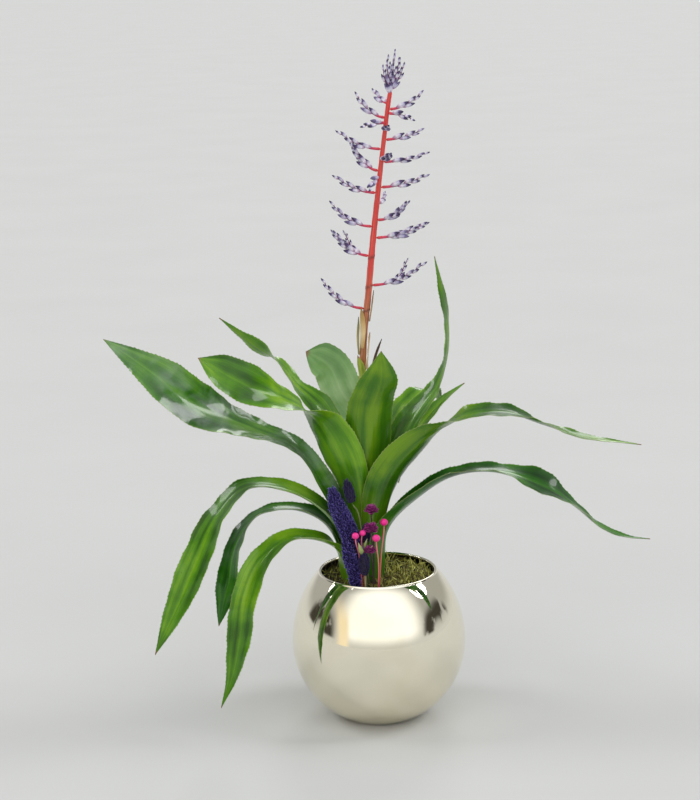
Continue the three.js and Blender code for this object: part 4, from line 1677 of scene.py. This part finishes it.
SPIKES: tuple[Spike, ...] = (
    Spike(476, 190, 48, 32, tilt=75),
    Spike(502, 350, 61, 25, tilt=70, side_spikes=(0.46,)),
    Spike(535, 172, 42, 26, tilt=55, fullness=2, side_spikes=(0.35,)),
    Spike(555, 6, 58, 14, tilt=35, fullness=2),
    Spike(568, 204, 50, 28, tilt=80),
    Spike(575, 332, 40, 21, tilt=50, fullness=2),
    Spike(593, 70, 26, 8, tilt=20),
    Spike(605, 176, 46, 18, tilt=70),
    Spike(611, 2, 52, 12, tilt=80),
    Spike(622, 240, 22, -10, tilt=60),
    Spike(629, 160, 33, 28, tilt=30, fullness=2),
    Spike(639, 348, 50, 10, tilt=35),
    Spike(643, 292, 25, 5, tilt=20, fullness=2),
    Spike(653, 190, 48, 20, tilt=65),
    Spike(663, 18, 42, 8, tilt=80),
    Spike(675, 276, 24, 5, tilt=20),
    Spike(682, 226, 36, -1, tilt=70),
    Spike(687, 168, 33, 24, tilt=70),
    Spike(692, 322, 34, -5, tilt=80),
    Spike(696, 14, 37, 16, tilt=65),
    Spike(703, 140, 20, 12, tilt=60),
)

# Rows of x, y, z, width, fold, heading and roll.
BRACTS: dict[str, Rows] = {
    "bract_green": (
        (-14, 2, 384, 7, 90, 240, 0), (-14, 1, 403, 9, 80, 240, 0), (-18, 2, 424, 1.5, 60, 240, 0),
    ),
    "bract_olive": (
        (-17, 6, 424, 3, 80, 200, 0), (-18, 6, 444, 6, 80, 200, 0), (-16, 6, 467, 1.2, 60, 200, 0),
    ),
    "bract_gold": (
        (-13, 2, 432, 4, 90, 240, 0), (-12, 2, 454, 6, 80, 240, 0), (-13, 4, 478, 1.2, 60, 240, 0),
    ),
    "bract_brown": (
        (-4, 5, 462, 3, 90, 350, 0), (-1, 5, 480, 3.5, 80, 350, 0), (1, 5, 497, 1, 60, 350, 0),
    ),
    "bract_papery": (
        (-8, 3, 408, 4, 90, 300, 0), (-6, 3, 428, 4.5, 80, 300, 70), (-4, 3, 450, 1.2, 60, 300, 0),
    ),
    "bract_sliver": (
        (-14, 3, 366, 3, 90, 300, 0), (-9, -5, 388, 3, 90, 300, 0), (-4, -12, 404, 2.5, 90, 300, 0),
        (2, -14, 426, 3, 80, 300, 0), (9, -16, 446, 1, 60, 300, 0),
    ),
}

# The dark, middle and light colour of each dry bract.
DRY_BRACTS: dict[str, tuple[Colour, Colour, Colour]] = {
    "bract_olive": ((0.14, 0.13, 0.03), (0.30, 0.25, 0.07), (0.44, 0.36, 0.14)),
    "bract_gold": ((0.34, 0.20, 0.05), (0.56, 0.37, 0.13), (0.78, 0.60, 0.33)),
    "bract_brown": ((0.16, 0.08, 0.03), (0.33, 0.18, 0.08), (0.52, 0.34, 0.18)),
    "bract_papery": ((0.40, 0.22, 0.10), (0.66, 0.46, 0.26), (0.88, 0.76, 0.58)),
    "bract_sliver": ((0.05, 0.025, 0.015), (0.12, 0.06, 0.035), (0.26, 0.15, 0.09)),
}

# A side spike's share of its reach, share of its rise, and radius.
SPIKE_SHAPE: Rows = (
    (-0.02, 0, 1.8), (0.25, 0.08, 1.4), (0.5, 0.26, 0.9), (0.78, 0.60, 0.7), (1.02, 1.02, 0.4),
)
# How far the short spike on a side spike reaches out and up, and its radius.
SHORT_SHAPE: Rows = ((0, 0, 0.9), (5, 6, 0.8), (9, 14, 0.7), (13, 24, 0.4))
# The tuft's spikes: how far each leans out, its compass direction and its rise.
TUFT_SPIKES: Rows = (
    (0, 0, 44), (7, 20, 34), (8, 95, 32), (7, 165, 38),
    (8, 240, 30), (9, 310, 35), (11, 355, 29), (11, 200, 27),
)
# A tuft spike's share of its rise and share of its lean.
TUFT_SHAPE: Rows = ((0, 0), (0.3, 0.45), (0.65, 0.85), (1.0, 1.0))


@dataclass
class Inflorescence:
    """The flower stem with its bracts, side spikes and top tuft."""

    stem_line: Rows = (
        (-14, 0, 168.3, 4.2),
        (-15, 5, 300, 4.1),
        (-13, 8, 400, 3.9),
        (-10, 8, 450, 3.7),
        (-5, 8, 490, 3.6),
        (-1, 8, 530, 3.5),
        (6, 9, 590, 3.1),
        (15, 10, 660, 2.5),
        (23, 10, 714, 2.1),
        (23.6, 10, 717, 1.4),
    )
    ring_heights: tuple[float, ...] = (474, 501, 399, 407, 534)
    top: float = 714
    bud_pitch: float = 5.6
    bare_share: float = 0.27
    short_reach: float = 30
    short_bare_share: float = 0.12
    seed: int = 5

    def stem_place(self, height: float) -> Array:
        """The stem's x, y, z and radius at a height."""
        table = np.array(self.stem_line)
        return np.array([np.interp(height, table[:, 2], table[:, k]) for k in range(4)])

    def build(self) -> None:
        """Makes the stem, the bracts, the spikes and the tuft."""
        self.chance = np.random.default_rng(self.seed)
        # The spike stalk turns near black past its bare foot, painted shade where it runs among the
        # buds.
        self.stalk_finish = TissueFinish(
            "spike_stalk",
            (
                (0.0, (0.72, 0.07, 0.06)), (0.20, (0.66, 0.05, 0.14)),
                (0.36, (0.16, 0.03, 0.11)), (1.0, (0.07, 0.03, 0.10)),
            ),
            (0.30, 0.05, 0.06), 0.3, 0.42,
        ).make()
        self.bud_finish = TissueFinish(
            "flower_bud",
            (
                (0.02, (0.36, 0.10, 0.24)), (0.18, (0.55, 0.40, 0.56)),
                # The grey lavender at 0.60, between the pale body and the dark tip, is painted
                # shade on the bud.
                (0.34, (0.82, 0.80, 0.88)), (0.60, (0.50, 0.48, 0.64)),
                (0.68, (0.10, 0.06, 0.20)), (0.88, (0.025, 0.012, 0.06)),
            ),
            (0.36, 0.31, 0.54), 0.45, 0.48,
        ).make()
        self.build_stem()
        self.build_bracts()
        bud = BudFactory().make()
        for number, spike in enumerate(SPIKES, start=1):
            self.build_spike(f"spike_{number:02d}", spike, bud)
        self.build_tuft(bud)
        bpy.data.objects.remove(bud)

    def build_stem(self) -> None:
        """Rolls the stem and marks its darker rings."""

        def swell(turn: Array, share: Array) -> Array:
            """Faint ridges round the stem."""
            return 1 + 0.035 * np.sin(turn * FULL_TURN * 5) + 0.03 * np.sin(share * 190)

        stem = rolled_rod("flower_stem_shaft", self.stem_line, 24, 260, swell)
        place = points_of(stem)
        height = place[:, 2] / MM
        rings = np.zeros(len(place))
        grown = np.zeros(len(place))
        for ring in self.ring_heights:
            slant = (place[:, 0] / MM - self.stem_place(ring)[0]) * 0.35
            near = np.exp(-(((height - ring - slant) / 1.5) ** 2))
            rings = np.maximum(rings, near)
            grown += near * 0.12
        axis = np.array([self.stem_place(h)[:2] for h in height]) * MM
        place[:, :2] = axis + (place[:, :2] - axis) * (1 + grown)[:, None]
        set_points(stem, place)
        mark(stem, "ring", rings * 0.8)
        settled(dressed(stem, StemFinish().make()), ["flower_stem"])

    def build_bracts(self) -> None:
        """Makes the bracts at the foot of the stem."""
        maker = BladeMaker(
            columns=8, tooth_height=0, rows_per_tooth=3, tooth_pitch=3, thickness=0.6, wave=0.4
        )
        green = LeafFinish(
            "bract_green", (0.16, 0.24, 0.02), (0.36, 0.44, 0.05), (0.55, 0.58, 0.12),
            roughness=0.4, tip_start=0.9, dry=(0.42, 0.26, 0.10),
        ).make()
        for number, (name, rows) in enumerate(BRACTS.items()):
            blade = maker.make(name + "_blade", rows, phase=number * 2.1)
            if name in DRY_BRACTS:
                dark, middle, light = DRY_BRACTS[name]
                stops = ((0.0, middle), (0.35, light), (0.7, middle), (1.0, dark))
                finish = TissueFinish(name, stops, dark, 0.2, 0.6, grain=380).make()
                settled(dressed(blade, finish, finish), [name])
            else:
                settled(dressed(blade, green, green), [name])

    def budded(
        self,
        name: str,
        rows: Rows,
        bud: Piece,
        tilt: float,
        fullness: int,
        start: float,
        size: float = 1.0,
    ) -> list[Piece]:
        """A stalk with two ranks of buds and one at its end.

        Args:
            name: A name for the parts.
            rows: The stalk's rows of x, y, z and radius.
            bud: The bud to repeat.
            tilt: The angle between the plane of the ranks and the level, in degrees.
            fullness: How many pairs of ranks there are.
            start: The share of the stalk where the buds begin.
            size: The size of the buds.

        Returns:
            The stalk and the buds, both with their finish.
        """
        stalk = dressed(rolled_rod(name + "_stalk", rows, 8, 18), self.stalk_finish)
        line = SmoothLine(rows).evenly(STALK_STEPS + 1)[:, :3]
        whole = length_of(line)
        count = max(4, int(whole * (1 - start) / (self.bud_pitch * size))) * fullness
        shares = np.linspace(start, 0.985, count)
        index = np.clip(shares, 0, 1) * STALK_STEPS
        marks = np.arange(STALK_STEPS + 1)
        centre = np.column_stack([np.interp(index, marks, line[:, k]) for k in range(3)])
        along = directions(line)[np.rint(index).astype(int)]
        level = unit(np.cross(along, [[0.0, 0.0, 1.0]]))
        over = np.cross(level, along)
        jitter = self.chance.normal(0, 6, count)
        turn = np.radians(tilt + jitter + (np.arange(count) // 2 % fullness) * 90)
        rank = turned(level, over, turn)
        rank *= np.where(np.arange(count) % 2 == 0, 1, -1)[:, None]
        opened = (1 - 0.35 * shares) * (1 + 0.5 * (fullness - 1))
        lean = np.radians(self.chance.uniform(7, 16, count) * opened)
        lean[-1] = 0
        axes = turned(along, rank, lean)
        origins = (centre + rank * 0.7 - along * 3.5) * MM
        turns = facing_turns(axes, self.chance.uniform(-0.3, 0.3, count))
        sizes = (1.0 - 0.5 * (shares - start) / (1 - start)) * size
        sizes = sizes * self.chance.uniform(0.9, 1.08, count)
        picks = self.chance.uniform(0, 1, count)
        buds = repeated(name + "_buds", bud, origins, turns, sizes, picks)
        return [stalk, dressed(buds, self.bud_finish)]

    def build_spike(self, name: str, spike: Spike, bud: Piece) -> None:
        """Makes one side spike with its side spikes.

        Args:
            name: The CAD node that it stands for.
            spike: Its place and look.
            bud: The bud to repeat.
        """
        x, y, _, radius = self.stem_place(spike.height)
        direction = math.radians(spike.compass)
        rows = []
        for share, lift, thick in SPIKE_SHAPE:
            out = radius + (spike.reach - radius) * share
            place = (x + out * math.cos(direction), y + out * math.sin(direction))
            rows.append((*place, spike.height + spike.rise * lift, thick))
        bare = self.bare_share if spike.reach > self.short_reach else self.short_bare_share
        parts = self.budded(name, rows, bud, spike.tilt, spike.fullness, bare)
        for number, share in enumerate(spike.side_spikes):
            foot = SmoothLine(rows).at(np.array([share]))[0]
            turn = direction + 0.15
            aside = np.array([math.cos(turn), math.sin(turn)])
            short = [
                (*(foot[:2] + out * aside), foot[2] + up, thick) for out, up, thick in SHORT_SHAPE
            ]
            parts += self.budded(f"{name}_side_{number}", short, bud, 70, 1, 0.05, 0.7)
        settled(joined(name + "_flowers", parts), [name])

    def build_tuft(self, bud: Piece) -> None:
        """Makes the flame of short spikes on the top of the stem.

        Args:
            bud: The bud to repeat.
        """
        x, y, z, _ = self.stem_place(self.top)
        parts = []
        for number, (out, compass, rise) in enumerate(TUFT_SPIKES):
            turn = math.radians(compass)
            rows = [
                (
                    x + out * bow * math.cos(turn) + 6.0 * share * rise / 44,
                    y + out * bow * math.sin(turn),
                    z + 1 + rise * share,
                    0.9 - 0.5 * share,
                )
                for share, bow in TUFT_SHAPE
            ]
            parts += self.budded(f"tuft_{number}", rows, bud, compass + 20 * number, 1, 0.05, 0.85)
        settled(joined("spike_top_flowers", parts), ["spike_top"])


# ---- dried accents


class Head(Enum):
    """What an accent carries at the end of its stalk."""

    PLUME = "plume"
    SCALES = "scales"
    GLOBE = "globe"
    BALL = "ball"


@dataclass(frozen=True)
class Accent:
    """A dried accent: its foot on the moss, and its rows of x, y, z and radius above it.

    The head starts at row number `head_row`; the rows before it are the stalk.
    """

    name: str
    head: Head
    foot: tuple[float, float]
    rows: Rows
    head_row: int
    stalk_radius: float = 0.8


ACCENTS: tuple[Accent, ...] = (
    Accent(
        "plume_large", Head.PLUME, (-19, -42),
        (
            (-21, -42.6, 178, 6.5), (-26, -44, 214, 9.6), (-37, -47, 246, 11),
            (-45, -48, 266, 8.6), (-49, -48, 282, 2),
        ),
        0, 2.5,
    ),
    Accent(
        "plume_small", Head.PLUME, (-24, -51),
        (
            (-24.5, -52, 170, 4), (-27, -55, 190, 6.2), (-31, -57, 206, 6.8),
            (-36, -58, 225, 1.5),
        ),
        0, 1.5,
    ),
    Accent(
        "seed_head", Head.SCALES, (-9, -32),
        (
            (-17, -36, 225, 0.8), (-22, -46, 258, 0.8), (-26.5, -55, 267, 0.8),
            (-27, -56, 269, 3.6), (-30, -56, 281, 6.2), (-33, -56, 294, 1.5),
        ),
        3,
    ),
    Accent(
        "globe_flower_upper", Head.GLOBE, (-4, -38),
        ((-4, -40, 219, 0.7), (-6, -48, 252, 0.7), (-6, -50, 259, 8.6)), 2, 0.7,
    ),
    Accent(
        "globe_flower_middle", Head.GLOBE, (-4, -44),
        ((-5, -50, 215, 0.7), (-7, -56, 234, 0.7), (-7, -57, 240, 9.0)), 2, 0.7,
    ),
    Accent(
        "globe_flower_lower", Head.GLOBE, (-5, -51),
        ((-6, -55, 200, 0.7), (-7, -57, 208, 0.7), (-8, -62, 216, 7.4)), 2, 0.7,
    ),
    Accent(
        "dark_bud", Head.SCALES, (-12, -44),
        (
            (-14, -46, 212, 0.8), (-14, -46.5, 217, 0.8), (-14, -47, 220, 4.4),
            (-13, -48, 230, 5.2), (-12, -48, 240, 1.5),
        ),
        2,
    ),
    Accent(
        "indigo_head", Head.SCALES, (-13, -54),
        (
            (-14, -60, 184, 1.0), (-14, -60, 186, 3), (-15, -62, 194, 6.3),
            (-15, -63, 202, 6.8), (-15, -62, 212, 2),
        ),
        1,
    ),
    Accent(
        "pink_ball_left", Head.BALL, (-17, -50),
        ((-21, -58, 212, 0.75), (-24, -66, 229, 0.75), (-24, -67, 234, 4.0)), 2, 0.75,
    ),
    Accent(
        "pink_ball_back", Head.BALL, (-14, -49),
        ((-17, -54, 212, 0.7), (-17, -61, 231, 0.7), (-16, -63, 236, 3.5)), 2, 0.7,
    ),
    Accent(
        "pink_ball_front", Head.BALL, (0, -56),
        ((1, -61, 203, 0.75), (-1, -66, 226, 0.75), (-1, -67, 231, 4.3)), 2, 0.75,
    ),
    Accent(
        "pink_ball_right", Head.BALL, (1, -48),
        ((5, -52, 214, 0.75), (8, -56, 241, 0.75), (8, -56, 246, 4.2)), 2, 0.75,
    ),
)

# The small dry leaves between the stalks, in rows as for a blade.
LEAFLETS: tuple[Rows, ...] = (
    (
        (-16, -62, 208, 1.5, 40, 250, 20), (-18, -65, 216, 5.0, 40, 250, 25),
        (-21, -66, 226, 0.8, 30, 250, 30),
    ),
    (
        (-11, -60, 210, 1.5, 40, 320, -20), (-9, -64, 217, 4.2, 40, 320, -25),
        (-5, -66, 222, 0.8, 30, 320, -30),
    ),
    (
        (-14, -58, 214, 1.2, 40, 280, 10), (-13, -62, 223, 3.6, 40, 280, 10),
        (-11, -65, 230, 0.8, 30, 280, 10),
    ),
)

# The finish of each kind of head.
HEAD_FINISHES: dict[Head, TissueFinish] = {
    Head.PLUME: TissueFinish(
        "plume_violet",
        (
            (0.0, (0.003, 0.001, 0.015)), (0.42, (0.018, 0.009, 0.11)),
            (0.74, (0.05, 0.028, 0.28)), (0.96, (0.38, 0.34, 0.74)),
        ),
        (0.012, 0.006, 0.075), 0.7, 0.6,
    ),
    Head.SCALES: TissueFinish(
        "seed_indigo",
        (
            (0.0, (0.003, 0.001, 0.010)), (0.5, (0.010, 0.004, 0.05)),
            (0.85, (0.026, 0.010, 0.12)), (1.0, (0.08, 0.04, 0.25)),
        ),
        (0.006, 0.003, 0.02), 0.6, 0.55, sheen=0.04,
    ),
    Head.GLOBE: TissueFinish(
        "globe_magenta",
        (
            (0.0, (0.04, 0.002, 0.03)), (0.4, (0.13, 0.004, 0.08)),
            (0.8, (0.28, 0.009, 0.17)), (1.0, (0.50, 0.06, 0.34)),
        ),
        (0.12, 0.004, 0.075), 0.6, 0.5, sheen=0.04,
    ),
    Head.BALL: TissueFinish(
        "ball_pink",
        # The ball's colours run from darker at its underside to lighter on top: painted shade and
        # light.
        ((0.0, (0.60, 0.004, 0.18)), (0.4, (0.86, 0.008, 0.28)), (1.0, (0.95, 0.03, 0.36))),
        (0.95, 0.08, 0.38), 0.3, 0.36, grain=1500, depth=0.0002,
    ),
}
STALK_PINK = TissueFinish(
    "stalk_pink",
    ((0.0, (0.60, 0.10, 0.14)), (0.5, (0.78, 0.20, 0.20)), (1.0, (0.86, 0.22, 0.30))),
    (0.60, 0.24, 0.14), 0.4, 0.5,
)
STALK_OLIVE = TissueFinish(
    "stalk_olive",
    ((0.0, (0.20, 0.22, 0.08)), (0.6, (0.34, 0.38, 0.16)), (1.0, (0.22, 0.26, 0.12))),
    (0.40, 0.42, 0.20), 0.4, 0.55,
)
STALK_DARK = TissueFinish(
    "stalk_dark",
    ((0.0, (0.10, 0.05, 0.04)), (0.6, (0.05, 0.02, 0.03)), (1.0, (0.12, 0.02, 0.07))),
    (0.16, 0.08, 0.06), 0.4, 0.55,
)
LEAFLET_DRY = TissueFinish(
    "leaflet_dry",
    ((0.0, (0.16, 0.20, 0.05)), (0.5, (0.34, 0.42, 0.14)), (1.0, (0.46, 0.48, 0.24))),
    (0.30, 0.32, 0.10), 0.4, 0.6,
)


@dataclass
class Posy:
    """The dried accents that stand in the moss beside the plant."""

    planting: Planting
    seed: int = 23
    scales: int = 230
    petals: int = 64
    crumbs: int = 34

    def build(self) -> None:
        """Makes every accent, then the leaflets and crumbs at their feet."""
        self.chance = np.random.default_rng(self.seed)
        self.finishes = {head: finish.make() for head, finish in HEAD_FINISHES.items()}
        olive, dark, pink = (mix.make() for mix in (STALK_OLIVE, STALK_DARK, STALK_PINK))
        self.stalk_finishes = {
            Head.PLUME: olive, Head.SCALES: olive, Head.GLOBE: dark, Head.BALL: pink,
        }
        makers = {
            Head.PLUME: self.plume_parts,
            Head.SCALES: self.scale_parts,
            Head.GLOBE: self.globe_parts,
            Head.BALL: self.ball_parts,
        }
        for accent in ACCENTS:
            parts = [self.stalk(accent), *makers[accent.head](accent)]
            piece = joined(accent.name + "_dried", parts)
            settled(piece, [accent.name])
        self.build_leaflets()
        self.build_crumbs()

    def stalk(self, accent: Accent) -> Piece:
        """The stalk, from inside the moss to inside the head.

        Args:
            accent: The accent that it carries.

        Returns:
            The stalk, with its finish.
        """
        x, y = accent.foot
        ground = float(self.planting.surface_height(np.array([x]), np.array([y]))[0])
        radius = accent.stalk_radius
        below = [(x, y, ground - 4, radius)]
        upper = [(*row[:3], radius) for row in accent.rows[: accent.head_row + 1]]
        rod = rolled_rod(accent.name + "_stalk", below + upper, 8, 16)
        return dressed(rod, self.stalk_finishes[accent.head])

    def flake(self, name: str, length: float, radius: float, hook: float, sides: int = 3) -> Piece:
        """A small pointed scale or bristle.

        Args:
            name: Its name.
            length: Its length, in millimetres.
            radius: Its greatest radius.
            hook: How far its tip leans over.
            sides: How many faces go round it.

        Returns:
            The scale, about the origin, pointing along +Z.
        """
        rows = [
            (0, 0, 0, radius * 0.7),
            (0, 0, length * 0.35, radius),
            (hook * 0.4, 0, length * 0.7, radius * 0.7),
            (hook, 0, length, radius * 0.12),
        ]
        return rolled_rod(name, rows, sides, 5)

    def covered(
        self, name: str, rows: Rows, pattern: Piece, count: int, spread: float, finish: Material
    ) -> list[Piece]:
        """A core along some rows, covered by flakes in a spiral.

        Args:
            name: A name for the parts.
            rows: Rows of x, y, z and radius.
            pattern: The flake.
            count: How many flakes.
            spread: How far each stands out from the core, in degrees.
            finish: Their finish.

        Returns:
            The core and the flakes.
        """
        inner = [(*row[:3], max(0.4, row[3] * 0.78)) for row in rows]
        core = dressed(rolled_rod(name + "_core", inner, 14, 24), finish)
        mark(core, "along", np.full(len(core.data.vertices), 0.1))
        line = SmoothLine(rows).evenly(CORE_STEPS + 1)
        marks = np.arange(CORE_STEPS + 1)
        along = directions(line[:, :3])
        side, up = carried_sides(along)
        area = np.concatenate([[0], np.cumsum(line[1:, 3] + 0.6)])
        place = np.interp((np.arange(count) + 0.5) / count * area[-1], area, marks)
        row = np.rint(place).astype(int)
        angle = np.arange(count) * GOLDEN_TURN + self.chance.normal(0, 0.12, count)
        outwards = turned(side[row], up[row], angle)
        centre = np.column_stack([np.interp(place, marks, line[:, k]) for k in range(3)])
        radius = np.interp(place, marks, line[:, 3])
        lean = np.radians(spread + self.chance.normal(0, 8, count)) * (1 - 0.5 * place / CORE_STEPS)
        axes = turned(along[row], outwards, lean)
        origins = (centre + outwards * (radius * 0.70)[:, None]) * MM
        turns = facing_turns(axes, self.chance.uniform(0, FULL_TURN, count))
        sizes = self.chance.uniform(0.8, 1.15, count)
        picks = self.chance.uniform(0, 1, count)
        flakes = repeated(name + "_flakes", pattern, origins, turns, sizes, picks)
        bpy.data.objects.remove(pattern)
        return [core, dressed(flakes, finish)]

    def plume_parts(self, accent: Accent) -> list[Piece]:
        """A long head of fine violet bristles.

        Args:
            accent: The accent that carries it.

        Returns:
            The head's parts, with their finish.
        """
        size = max(row[3] for row in accent.rows)
        whole = length_of(np.array(accent.rows)[:, :3])
        pattern = self.flake("bristle", 5.0, 0.95, 0.8)
        count = int(whole * size * 1.7)
        return self.covered(accent.name, accent.rows, pattern, count, 58, self.finishes[Head.PLUME])

    def scale_parts(self, accent: Accent) -> list[Piece]:
        """An egg-shaped head of short pointed scales.

        Args:
            accent: The accent that carries it.

        Returns:
            The head's parts, with their finish.
        """
        rows = accent.rows[accent.head_row :]
        pattern = self.flake("scale", 3.8, 0.8, 0.5, 4)
        return self.covered(accent.name, rows, pattern, self.scales, 38, self.finishes[Head.SCALES])

    def globe_parts(self, accent: Accent) -> list[Piece]:
        """A round head of spoon-shaped petals.

        Args:
            accent: The accent that carries it.

        Returns:
            The head's parts, with their finish.
        """
        *centre, radius = accent.rows[accent.head_row]
        heart = np.array(centre) + [0, 0, -0.15 * radius]
        clear_selection()
        bpy.ops.mesh.primitive_uv_sphere_add(segments=8, ring_count=7, radius=1.0)
        petal = bpy.context.object
        ball = points_of(petal)
        share = (ball[:, 2] + 1) / 2
        width = 0.17 + 0.16 * np.sin(math.pi * share**1.6)
        cup = 0.16 * share**2
        shaped = np.column_stack([ball[:, 0] * width, ball[:, 1] * 0.07 + cup, share]) * radius
        set_points(petal, shaped * MM)
        mark(petal, "along", share)
        mark(petal, "pick", np.full(len(share), 0.5))
        count = self.petals
        rank = (np.arange(count) + 0.5) / count
        polar = np.arccos(1 - rank * 1.32)
        angle = np.arange(count) * GOLDEN_TURN
        level = np.column_stack([np.cos(angle), np.sin(angle)]) * np.sin(polar)[:, None]
        axes = np.column_stack([level, np.cos(polar)])
        axes = unit(axes + self.chance.normal(0, 0.07, axes.shape))
        origins = (heart + axes * 0.12 * radius) * MM
        sizes = self.chance.uniform(0.82, 1.02, count) * np.where(polar < 0.6, 0.72, 0.92)
        turns = facing_turns(axes, self.chance.uniform(-0.5, 0.5, count))
        picks = self.chance.uniform(0, 1, count)
        petals = repeated(accent.name + "_petals", petal, origins, turns, sizes, picks)
        bpy.data.objects.remove(petal)
        calyx_rows = [
            (heart[0], heart[1], heart[2] - radius * 0.62, 0.7),
            (heart[0], heart[1], heart[2] - radius * 0.3, radius * 0.34),
            (heart[0], heart[1], heart[2] + radius * 0.2, radius * 0.4),
        ]
        calyx = rolled_rod(accent.name + "_calyx", calyx_rows, 10, 8)
        dressed(calyx, self.stalk_finishes[Head.GLOBE])
        return [dressed(petals, self.finishes[Head.GLOBE]), calyx]

    def ball_parts(self, accent: Accent) -> list[Piece]:
        """A small round ball with a faintly dimpled skin.

        Args:
            accent: The accent that carries it.

        Returns:
            The head's parts, with their finish.
        """
        *centre, radius = accent.rows[accent.head_row]
        clear_selection()
        bpy.ops.mesh.primitive_ico_sphere_add(subdivisions=4, radius=1.0)
        ball = bpy.context.object
        skin = unit(points_of(ball))
        waves = np.sin(skin * [17, 15, 16] + [1, 0, 0])
        dimples = 1 + 0.018 * np.prod(waves, axis=1)
        nose = 0.05 * np.exp(-((1 - skin[:, 2]) / 0.02))
        shaped = skin * (dimples - nose)[:, None] * [1.0, 1.0, 0.95] * radius
        set_points(ball, (shaped + centre) * MM)
        # Painted shade and light: this mark runs from the underside to the top, so the finish
        # darkens the ball below and lightens it above.
        mark(ball, "along", (skin[:, 2] + 1) / 2)
        mark(ball, "pick", np.full(len(skin), self.chance.uniform(0, 1)))
        return [dressed(ball, self.finishes[Head.BALL])]

    def build_leaflets(self) -> None:
        """Adds the small dry green leaves between the stalks."""
        finish = LEAFLET_DRY.make()
        maker = BladeMaker(
            columns=6, tooth_height=0, rows_per_tooth=3, tooth_pitch=2, thickness=0.35, wave=0.3,
            groove=0.3,
        )
        leaflets = [
            dressed(maker.make(f"leaflet_{number}", rows, number), finish, finish)
            for number, rows in enumerate(LEAFLETS)
        ]
        settled(joined("posy_leaflets", leaflets))

    def build_crumbs(self) -> None:
        """Scatters fallen magenta petals on the moss at the accents' feet."""
        pattern = self.flake("crumb", 4.5, 0.9, 1.2, 4)
        count = self.crumbs
        x = self.chance.normal(-12, 7, count)
        y = self.chance.normal(-56, 3.5, count)
        height = self.planting.surface_height(x, y) + self.chance.uniform(0.5, 4.5, count)
        axes = self.chance.normal(0, 1, (count, 3)) * [1, 1, 0.6] + [0, 0, 0.5]
        turns = facing_turns(axes, self.chance.uniform(0, 6, count))
        origins = np.column_stack([x, y, height]) * MM
        sizes = self.chance.uniform(0.5, 1.0, count)
        picks = self.chance.uniform(0, 1, count)
        crumbs = repeated("posy_crumbs", pattern, origins, turns, sizes, picks)
        bpy.data.objects.remove(pattern)
        settled(dressed(crumbs, self.finishes[Head.GLOBE]))


# ---- all together


def dress_hidden_parts() -> None:
    """Gives the potting mix and the root stock their finishes."""
    mix = SoilFinish("potting_mix", (0.012, 0.008, 0.005), (0.085, 0.055, 0.032)).make()
    root = SoilFinish("leaf_base", (0.10, 0.08, 0.03), (0.32, 0.34, 0.14), crumbs=120).make()
    for name, finish in (("potting_mix", mix), ("crown", root)):
        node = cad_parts[name]
        for slot in node.material_slots:
            slot.material = finish
        log.info("%s: finish only", name)


def main() -> None:
    """Builds the arrangement from the vase up, then the studio round it."""
    logging.basicConfig(level=logging.INFO, format="%(message)s")
    vase = Vase()
    vase.build(SilverFinish().make(), LiningFinish().make())
    bed = FibreFinish(
        "moss_bed",
        ((0.3, (0.02, 0.016, 0.006)), (0.5, (0.05, 0.048, 0.01)), (0.7, (0.10, 0.10, 0.02))),
        (0.015, 0.01, 0.005),
    ).make()
    strand = FibreFinish(
        "moss_strand",
        (
            (0.30, (0.05, 0.025, 0.012)), (0.42, (0.15, 0.11, 0.02)),
            (0.53, (0.36, 0.36, 0.035)), (0.70, (0.82, 0.80, 0.22)),
        ),
        (0.022, 0.018, 0.006),
    ).make()
    planting = Planting(vase)
    planting.build(bed, strand)
    dress_hidden_parts()
    Rosette().build()
    Inflorescence().build()
    Posy(planting).build()
    Studio().build()


if __name__ == "__main__":
    main()
